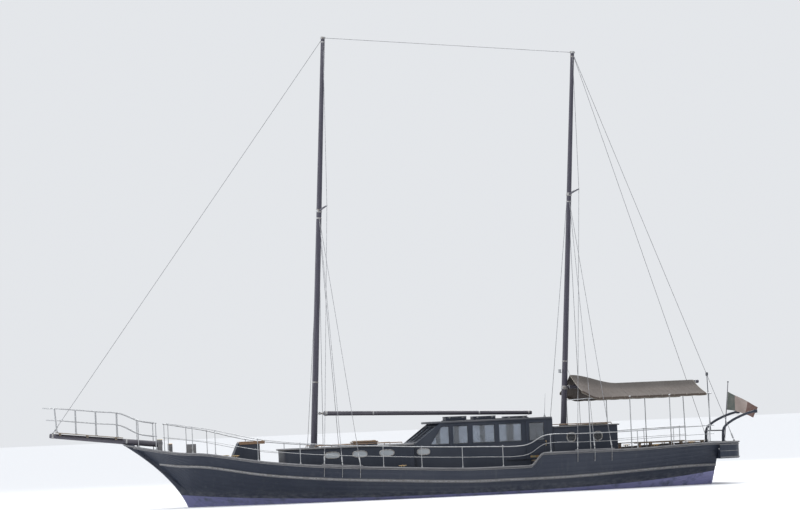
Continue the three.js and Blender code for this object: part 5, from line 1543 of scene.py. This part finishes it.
def make_skylight():
    """Two panes in raised frames under guard rods, riding with the skylight lid."""
    frames, panes, rods = [], [], []
    top = 2.1556
    rim = [(0.03, -0.001), (0.03, 0.008), (0.022, 0.014), (0, 0.014), (0, -0.001)]
    glass = [(0, -0.001), (0, 0.004), (-0.02, 0.005)]
    for middle in (-0.215, 0.215):
        outline = rectangle(2.82, 3.58, middle - 0.15, middle + 0.15, 0.02)
        frames.append(raised(outline, rim, (0, 0, top), **LEVEL))
        panes.append(raised(outline, glass, (0, 0, top), solid=True, **LEVEL))
        for y in np.linspace(middle - 0.11, middle + 0.11, 5):
            rods.append(straight((2.8, y, top + 0.026), (3.6, y, top + 0.026), 0.005, sides=8))
        for x in (2.805, 3.595):
            low, high = (x - 0.008, middle - 0.14, top + 0.012), (x + 0.008, middle + 0.14, top + 0.032)
            rods.append(block(low, high, 0.003))
    piece("skylight_frames", frames, *TEAK, "skylight_lid")
    piece("skylight_panes", panes, port_mat, "window_glass", "skylight_lid")
    piece("skylight_guard_rods", rods, *BRONZE, "skylight_lid")


make_window_trims()
make_wipers()
make_belts()
make_roof()
make_lockers_and_aerial()
make_side_doors()
make_portlights()
make_trunk_top()
make_nosings_and_grab_rails()
make_companion_doors()
make_skylight()

# Helm, deck gear and stern

HELM_Y = 0.7
SEAT_X = -0.68
WHEEL = {"hub": (0.07, HELM_Y, 1.56), "rim": 0.3, "spokes": 6}
# Half of a turned spoke and its handle, as rows of (radius, distance from the hub)
SPOKE = [
    (0.013, 0.03), (0.011, 0.07), (0.014, 0.11), (0.019, 0.15), (0.014, 0.19), (0.01, 0.23),
    (0.014, 0.275), (0.014, 0.318), (0.01, 0.322), (0.012, 0.328), (0.014, 0.338), (0.01, 0.35),
]
BOSS = [
    (0.012, -0.045), (0.028, -0.042), (0.04, -0.03), (0.04, 0.03), (0.03, 0.045), (0.025, 0.06),
    (0.025, 0.1204),
]
LEVER_KNOB = [(0.004, -0.018), (0.018, -0.008), (0.018, 0.01), (0.004, 0.018)]


def coordinates(mesh):
    """A mesh's points as rows of x, y, z."""
    flat = np.empty(len(mesh.vertices) * 3, np.float32)
    mesh.vertices.foreach_get("co", flat)
    return flat.reshape(-1, 3).astype(float)


def blown_up(cushion, cap):
    """Points of the cushion after 20 steps of cloth pressure, each point's way held to a cap."""
    start = coordinates(cushion.data)
    cloth = cushion.modifiers.new("pressure", "CLOTH")
    cloth.settings.quality = 5
    cloth.settings.mass = 0.3
    cloth.settings.tension_stiffness = 12
    cloth.settings.compression_stiffness = 12
    cloth.settings.shear_stiffness = 6
    cloth.settings.bending_stiffness = 0.5
    cloth.settings.use_pressure = True
    cloth.settings.uniform_pressure_force = 4
    cloth.settings.effector_weights.gravity = 0
    for step in range(1, 21):
        scene.frame_set(step)
    move = coordinates(cushion.evaluated_get(bpy.context.evaluated_depsgraph_get()).data) - start
    cushion.modifiers.remove(cloth)
    scene.frame_set(1)
    far = np.linalg.norm(move, axis=1, keepdims=True)
    return start + move * np.minimum(1.0, cap / np.maximum(far, 1e-9))


def pad(name, low, high, channels, across):
    """Cushion blown up from a block 9 mm smaller all round, with sewn channels pressed in afterwards.

    A point at distance d from a channel's plane sinks by 7 mm exp(-(d / 9 mm) squared) towards the middle of
    the cushion's thinnest side, and none goes under its lowest side, where it rests.
    """
    low, high = np.asarray(low, float), np.asarray(high, float)
    cushion = piece(name, [block(low + 0.009, high - 0.009, 0.022)], seat_mat, "seat_cloth", crease=180)
    remesh = cushion.modifiers.new("even_mesh", "REMESH")
    remesh.mode = "VOXEL"
    remesh.voxel_size = 0.0075
    bpy.context.view_layer.objects.active = cushion
    bpy.ops.object.modifier_apply(modifier=remesh.name)
    points = blown_up(cushion, 0.014)
    thin = int(np.argmin(high - low))
    over = points[:, thin] - (low[thin] + high[thin]) / 2
    sink = sum(0.007 * np.exp(-((points[:, across] - at) / 0.009) ** 2) for at in channels)
    points[:, thin] -= np.sign(over) * np.minimum(sink, np.abs(over) * 0.6)
    points[:, thin] = np.maximum(points[:, thin], low[thin])
    mesh = cushion.data
    mesh.vertices.foreach_set("co", points.astype(np.float32).ravel())
    mesh.materials.clear()
    mesh.materials.append(seat_mat)
    mesh.update()
    mesh.shade_smooth()
    finer = cushion.modifiers.new("finer", "SUBSURF")
    finer.levels = finer.render_levels = 1
    return cushion


def make_helm_seat():
    """Two cushions on moulded shells, on a pedestal with a foot ring."""
    pan = pad("helm_seat_cushion", (-0.878, 0.455, 1.316), (-0.45, 0.945, 1.388), (-0.76, -0.665, -0.57), 0)
    pad("helm_seat_back_cushion", (-0.952, 0.455, 1.345), (-0.886, 0.945, 1.845), (1.5, 1.6, 1.7), 2)
    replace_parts(pan, "helm_seat")
    rows = [(-0.007, 1.298), (0, 1.304), (0, 1.312), (-0.005, 1.3155)]
    shell = raised(rectangle(-0.895, -0.46, 0.46, 0.94, 0.06), rows, solid=True, **LEVEL)
    upright = {"place": (-0.9525, 0, 0), "across": (0, 1, 0), "normal": (-1, 0, 0), "solid": True}
    rows = [(-0.003, 0), (0, 0.002), (0, 0.007), (-0.004, 0.0095)]
    back = raised(rectangle(0.47, 0.93, 1.3, 1.84, 0.07), rows, **upright)
    low = deck_z(SEAT_X) + 0.0006
    tall = 1.297 - low
    profile = [
        (0.16, 0), (0.16, 0.008), (0.09, 0.02), (0.052, 0.05), (0.045, 0.09), (0.045, 0.3), (0.036, 0.305),
        (0.036, tall - 0.02), (0.1, tall - 0.012), (0.1, tall),
    ]
    post = turned(profile, (SEAT_X, HELM_Y, low), sides=32)
    ring = at_height(circle(40) * 0.2 + (SEAT_X, HELM_Y), 1.0)
    arms = [straight((SEAT_X, HELM_Y, 0.99), ring[i], 0.009) for i in (5, 18, 31)]
    piece("helm_seat_shells", [shell, back], *PLASTIC)
    piece("helm_seat_pedestal", [post, pipe(ring, 0.011, 12, True), *arms], *STEEL)


def make_wheel():
    """Spoked wheel with turned handles on a bronze boss, riding with the helm."""
    hub = np.array(WHEEL["hub"])
    rim = np.column_stack([np.full(48, hub[0]), circle(48) * WHEEL["rim"] + hub[1:]])
    shapes = [pipe(rim, 0.0185, 16, True)]
    for k in range(WHEEL["spokes"]):
        turn = k * 2 * math.pi / WHEEL["spokes"] + math.pi / 2
        shapes.append(turned(SPOKE, hub, (0, math.cos(turn), math.sin(turn)), 16))
    wheel = piece("helm_wheel_turned", shapes, *TEAK, "helm_wheel")
    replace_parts(wheel, "helm_wheel")
    piece("helm_wheel_boss", [turned(BOSS, hub, (1, 0, 0), 32)], *BRONZE, "helm_wheel")


def make_console():
    """Blank dials and levers on the console's slope, and two timber trims."""
    out = np.array([-0.13, 0, 0.36]) / math.hypot(0.13, 0.36)
    along_slope = np.array([0.36, 0, 0.13]) / math.hypot(0.13, 0.36)
    bezels, faces, hands = [], [], []
    for y, size in ((0.34, 0.055), (0.52, 0.055), (0.7, 0.085), (0.88, 0.055)):
        centre = np.array([0.38, y, 1.765])
        bezel = [(size, 0), (size, 0.012), (size - 0.004, 0.016), (size - 0.009, 0.012)]
        bezels.append(turned(bezel, centre, out, 32))
        faces.append(turned([(size - 0.008, 0.011), (size - 0.008, 0.0125)], centre, out, 32))
        tip = centre + 0.014 * out + (size - 0.02) * (along_slope * 0.8 + [0, 0.6, 0])
        hands.append(straight(centre + 0.014 * out, tip, 0.0022, 0.001, 6))
        for turn in np.arange(8) * math.pi / 4:
            way = along_slope * math.cos(turn) + [0, math.sin(turn), 0]
            spot = centre + 0.0127 * out + way * (size - 0.016)
            hands.append(straight(spot, spot + way * 0.006, 0.0012, sides=6))
    piece("helm_dial_bezels", bezels, *BRONZE)
    piece("helm_dial_faces", faces, *PLASTIC)
    piece("helm_dial_hands", hands, *RUBBER)
    levers = []
    for y in (1.02, 1.1):
        base = np.array([0.4, y, 1.772])
        lean = np.array([-0.02, 0, 0])
        levers.append(straight(base, base + 0.13 * out + lean, 0.006))
        levers.append(turned(LEVER_KNOB, base + 0.14 * out + lean, out, 16))
    levers.append(block((0.33, 0.98, 1.755), (0.47, 1.14, 1.793), 0.01))
    piece("helm_levers", levers, *STEEL)
    foot_trim = block((0.145, 0.145, 0.8), (0.155, 1.255, 0.86), 0.004)
    shelf = block((0.2, 0.15, 1.2), (0.155, 1.25, 1.23), 0.004)
    piece("helm_console_trims", [foot_trim, shelf], *TEAK)


def make_bowsprit():
    """Tapered bowsprit with two iron bands and the eyes at its tip."""
    heel_x, tip_x = SPRIT["heel_x"], SPRIT["tip"][0] - 0.012
    start, end = np.array([heel_x, 0, sprit_z(heel_x)]), np.array([tip_x, 0, sprit_z(tip_x)])
    axis = end - start
    spine = [start, *[start + axis * t for t in (0.3, 0.6, 0.992)], end]
    spar = pipe(spine, [0.11, 0.1045, 0.097, 0.085, 0.068], 32)
    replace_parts(piece("bowsprit_spar", [spar], *SPAR), "bowsprit")
    thick, thin = SPRIT["radius"]
    bands = []
    for x, wide in ((12.02, 0.06), (14.72, 0.07)):
        radius = thick - (thick - thin) * (x - heel_x) / (SPRIT["tip"][0] - heel_x) + 0.007
        bands.append(band(np.array([x, 0, sprit_z(x)]), axis, radius, wide))
    for y in (-0.105, 0.105):
        eye = [(0.022, -0.008), (0.026, 0), (0.022, 0.008)]
        bands.append(turned(eye, (14.72, y, sprit_z(14.72)), (1, 0, 0), 16))
    piece("bowsprit_bands", bands, *IRON)


def make_boom():
    """Main boom with its irons, riding with it, and the gooseneck's cheeks on the mast."""
    heel = np.array(BOOM["heel"])
    run = np.array([-BOOM["length"], 0, BOOM["end_z"] - heel[2]])
    thick, thin = BOOM["radius"]
    ts = np.linspace(0.0175, 1, 16)
    radii = thick - (thick - thin) * ts
    radii[0], radii[-1] = 0.06, 0.055
    ts[1], ts[-2] = 0.021, 0.9965
    spar = pipe([heel + run * t for t in ts], radii, 32)
    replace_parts(piece("main_boom_spar", [spar], *SPAR, "main_boom"), "main_boom")
    lean = np.array([-FOREMAST["rake"], 0, 1.0])
    knuckle = [(0.048, -0.028), (0.052, -0.024), (0.052, 0.024), (0.048, 0.028)]
    bolt = [(0.014, -0.056), (0.014, 0.048), (0.024, 0.05), (0.024, 0.058), (0.012, 0.062)]
    irons = [turned(knuckle, heel, lean, 24), turned(bolt, heel, lean, 20)]
    irons.append(pipe([heel, heel + [-0.1, 0, -0.004], heel + [-0.2, 0, -0.008]], [0.026, 0.036, 0.046], 20))
    # Columns: share of the boom's length, width, how far the iron stands out
    for t, wide, out in ((0.03, 0.09, 0.006), (0.25, 0.05, 0.005), (0.75, 0.05, 0.005), (0.985, 0.05, 0.009)):
        irons.append(band(heel + run * t, run, thick - (thick - thin) * t + out, wide))
    piece("main_boom_irons", irons, *IRON, "main_boom")
    cheeks = []
    for z in (-0.042, 0.042):
        centre = heel + lean * z
        cheeks.append(block(centre + [-0.045, -0.045, -0.0055], centre + [0.15, 0.045, 0.0055], 0.003))
    piece("gooseneck_cheeks", cheeks, *IRON)


def make_deck_light():
    """Caged light on a short arm, forward on the mizzen mast."""
    spot = mast_at(MIZZEN, 2.0)
    cage = [(0.045, 0), (0.06, 0.008), (0.06, 0.02), (0.05, 0.03), (0.05, 0.1), (0.06, 0.11), (0.045, 0.13)]
    lamp = turned(cage, spot + [0.19, 0, 0])
    arm = block(spot + [0.05, -0.022, -0.012], spot + [0.2, 0.022, 0], 0.005)
    piece("deck_light", [lamp, arm], *PLASTIC)


# Rows of (radius, distance from the middle) over half of the windlass drum
DRUM = [
    (0.04, 0.33), (0.04, 0.205), (0.118, 0.2), (0.118, 0.192), (0.098, 0.178), (0.09, 0.13), (0.098, 0.078),
    (0.112, 0.066), (0.112, 0.06), (0.08, 0.058), (0.08, 0.008),
]
DRUM_AT = (9.64, 0, 2.18)
CLEAT_FOOT = [(0.024, -0.001), (0.024, 0.006), (0.013, 0.016), (0.012, 0.046)]


def make_bitt_caps():
    """Bronze caps on the bitts, and iron pins through them."""
    caps, pins = [], []
    # Columns: aft and fore face, inner and outer face, top
    for x0, x1, y0, y1, z in ((10.72, 10.88, 0.125, 0.275, 2.54), (10.35, 10.49, 0.14, 0.26, 2.37)):
        caps.append(block((x0 - 0.006, y0 - 0.006, z - 0.014), (x1 + 0.006, y1 + 0.006, z + 0.014), 0.012))
        middle = (x0 + x1) / 2
        pins.append(straight((middle, y0 - 0.055, z - 0.09), (middle, y1 + 0.055, z - 0.09), 0.014, sides=14))
    piece("bitt_caps", both(caps), *BRONZE)
    piece("bitt_pins", both(pins), *IRON)


def make_windlass_drum():
    """Drum turned from a mirrored profile, with eight whelps on each end and twenty teeth round it."""
    centre = np.array(DRUM_AT)
    profile = [(r, -y) for r, y in DRUM] + DRUM[::-1]
    shapes = [turned(profile, centre, (0, 1, 0), 40)]
    for turn in np.arange(8) * math.pi / 4:
        spot = centre + np.array([math.cos(turn), 0, math.sin(turn)]) * 0.094
        for side in (1, -1):
            whelp = [spot + [0, side * y, 0] for y in (0.076, 0.13, 0.18)]
            shapes.append(pipe(whelp, [0.01, 0.008, 0.01], 8))
    for turn in np.arange(20) * math.pi / 10:
        spot = centre + np.array([math.cos(turn), 0, math.sin(turn)]) * 0.082
        shapes.append(straight(spot - [0, 0.03, 0], spot + [0, 0.03, 0], 0.009, sides=8))
    drum = piece("windlass_drum_flanged", shapes, *IRON, "windlass_drum")
    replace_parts(drum, "windlass_drum")


def make_cleats():
    """Horned cleats on the cap rails: a bar with lifted ends on two turned feet."""
    cleats = []
    horns = ((-0.15, 0.058), (-0.1, 0.05), (0, 0.052), (0.1, 0.05), (0.15, 0.058))
    for x in (8.2, 2.2, -7.3, -8.7):
        y, z = rail_y(x) - 0.058, rail_z(x)
        bar = [(x + way, y, z + up) for way, up in horns]
        cleats.append(pipe(bar, [0.008, 0.015, 0.019, 0.015, 0.008], 12))
        for foot in (x - 0.045, x + 0.045):
            cleats.append(turned(CLEAT_FOOT, (foot, y, z), sides=14))
    piece("rail_cleats", both(cleats), *BRONZE)


def make_benches():
    """Four slats a side on bearers, each slat with its edges planed, on turned-in legs."""
    slats, legs = [], []
    for k in range(4):
        low = 1.56 + k * 0.117
        slats.append(block((-9.35, low, 1.632), (-6.7, low + 0.105, 1.66), 0.007))
    for x in (-9.25, -8.06, -6.86):
        slats.append(block((x - 0.03, 1.585, 1.6), (x + 0.03, 1.995, 1.634), 0.006))
        for y in (1.635, 1.945):
            low = deck_z(x) + 0.001
            legs.append(block((x - 0.028, y - 0.03, low), (x + 0.028, y + 0.03, 1.601), 0.008))
        legs.append(block((x - 0.015, 1.66, 1.4), (x + 0.015, 1.92, 1.44), 0.005))
    for name, side in SIDES:
        top = piece("bench_" + name + "_slats", each(side, slats), bench_mat, "teak_deck")
        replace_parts(top, "bench_" + name)
        piece("bench_" + name + "_legs", each(side, legs), *TEAK)


def gallery_outline(out):
    """The gallery's plan with quarter-circle corners, moved outwards, from port fore to starboard fore."""
    turn = np.linspace(0, math.pi / 2, 12)
    radius = GALLERY_CORNER + out
    aft_x = GALLERY - out + radius * (1 - np.sin(turn))
    side_y = GALLERY_HALF + out - radius * (1 - np.cos(turn))
    sides = [[TRANSOM - 0.0004, GALLERY_HALF + out], [GALLERY + 0.6, GALLERY_HALF + out]]
    half = np.vstack([sides, np.column_stack([aft_x, side_y])])
    return np.vstack([half, half[::-1] * [1, -1]])


def round_gallery(section):
    """A section of (outwards, height) carried round the gallery's outline."""
    return skin(np.stack([at_height(gallery_outline(out), z) for out, z in section], axis=1))


def make_stern():
    """Taffrail with rounded edges, and the gallery's grooved planking with three beads on it."""
    cap = rounded(0.15, 0.06, 0.022) + np.array([-0.1, TAFFRAIL_TOP - 0.06])
    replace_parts(piece("taffrail_rounded", [round_gallery(cap)], *RAIL_PAINT), "taffrail")
    planks = [(-0.04, 0.9385), (0.002, 0.9385), (0.004, 0.942)]
    for groove in (1.1, 1.34):
        planks += [(0.004, groove - 0.006), (-0.0005, groove), (0.004, groove + 0.006)]
    planks += [(0.004, TAFFRAIL_TOP - 0.062), (-0.04, TAFFRAIL_TOP - 0.062)]
    piece("gallery_planking", [round_gallery(planks)], hull_mat, "hull_paint")
    plan = gallery_outline(0.004)
    sizes = ((1.46, 0.02), (0.985, 0.026), (1.22, 0.012))
    beads = [pipe(at_height(plan, z), radius, 10) for z, radius in sizes]
    piece("gallery_beads", beads, *RAIL_PAINT)


def make_keel():
    """Keel, stem and sternpost as one plank of timber with eased edges, its skeg, and the tube of the shaft.

    The stem's face is at foot + lean s + sweep s squared, 60 mm further forward, s being height over top.
    """
    s = np.linspace(0, 1, 40)
    face = np.column_stack([STEM["foot"] + STEM["lean"] * s + STEM["sweep"] * s ** 2 + 0.06, STEM["top"] * s])
    forefoot = [(2.5, -2.18), (6.6, -1.78), (8.2, -1.3), (9.25, -0.64), (9.7, -0.18), face[0]]
    inside = [(11.78, 2.42), (11.46, 2.08), (11.34, 1.88), (10.3, 1.0), (9.3, 0.1), (8.0, -0.4), (-7.0, -0.4)]
    outline = [(-8.0, -0.5), (-8.0, -2.3), *smooth_path(forefoot)[:-1], *face, *inside]
    edges = [(-0.022, -KEEL_HALF), (-0.006, 0.006 - KEEL_HALF), (0, 0.022 - KEEL_HALF)]
    edges += [(out, -y) for out, y in edges[::-1]]
    timber = raised(outline, edges, solid=True)
    skeg = block((-8.66, -0.09, -2.3), (-7.9, 0.09, -2.19), 0.015)
    tube = pipe([(-8.09, 0, -1.15), (-8.06, 0, -1.15), (-7.7, 0, -1.15)], [0.088, 0.096, 0.11], 24)
    keel = piece("keel_and_stem", [timber, skeg, tube], hull_mat, "bottom_paint")
    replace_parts(keel, "keel")


PROPELLER = {"centre": (-8.23, 0, -1.15), "blades": 3, "tip": 0.4, "pitch": 0.85}
PROPELLER_HUB = [
    (0.01, -0.2), (0.03, -0.18), (0.045, -0.13), (0.047, -0.11), (0.052, -0.108), (0.075, 0.085),
    (0.05, 0.09), (0.037, 0.1), (0.037, 0.37),
]


def propeller_blade():
    """One twisted blade as a grid over radius r and way s along the chord, x along the shaft and y across it.

    At radius r a section is turned by atan(pitch / (2 pi r)). Its half chord is 0.125 m sqrt(1 - q squared),
    q = (r - 0.22) / 0.185, and its half thickness 14 mm (1 - 0.75 r / tip) (1 - s squared).
    """
    radius = np.linspace(0.05, PROPELLER["tip"], 22)
    q = np.clip((radius - 0.22) / 0.185, -0.97, 0.985)
    chord = 0.125 * np.sqrt(1 - q ** 2)
    twist = np.arctan(PROPELLER["pitch"] / (2 * math.pi * radius))
    s = np.concatenate([np.linspace(-1, 1, 13), np.linspace(1, -1, 13)[1:-1]])
    side = np.concatenate([np.ones(13), -np.ones(11)])
    thick = 0.014 * (1 - 0.75 * radius / PROPELLER["tip"])[:, None] * (1 - s ** 2) * side
    run = chord[:, None] * s
    x = run * np.sin(twist)[:, None] + thick * np.cos(twist)[:, None]
    y = run * np.cos(twist)[:, None] - thick * np.sin(twist)[:, None]
    reach = np.sqrt(np.maximum(radius[:, None] ** 2 - y ** 2, 1e-6))
    return x, y, reach


def make_propeller_and_rudder():
    """The blade, turned to its places round a tapered hub, and straps across the rudder."""
    centre = np.array(PROPELLER["centre"])
    x, y, reach = propeller_blade()
    shapes = []
    for k in range(PROPELLER["blades"]):
        turn = k * 2 * math.pi / PROPELLER["blades"]
        out = np.array([0, math.sin(turn), math.cos(turn)])
        across = np.array([0, math.cos(turn), -math.sin(turn)])
        blade = x[..., None] * [1.0, 0, 0] + y[..., None] * across + reach[..., None] * out
        shapes.append(skin(centre + blade))
    shapes.append(turned(PROPELLER_HUB, centre, (1, 0, 0), 32))
    propeller = piece("propeller_cast", shapes, *BRONZE, "propeller")
    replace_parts(propeller, "propeller")
    straps = []
    for z in (-0.75, -1.25, -1.8):
        straps.append(block((-9.05, -0.053, z - 0.035), (-8.52, 0.053, z + 0.035), 0.006))
    piece("rudder_straps", straps, *BRONZE, "rudder")


make_helm_seat()
make_wheel()
make_console()
make_bowsprit()
make_boom()
make_deck_light()
make_bitt_caps()
make_windlass_drum()
make_cleats()
make_benches()
make_stern()
make_keel()
make_propeller_and_rudder()
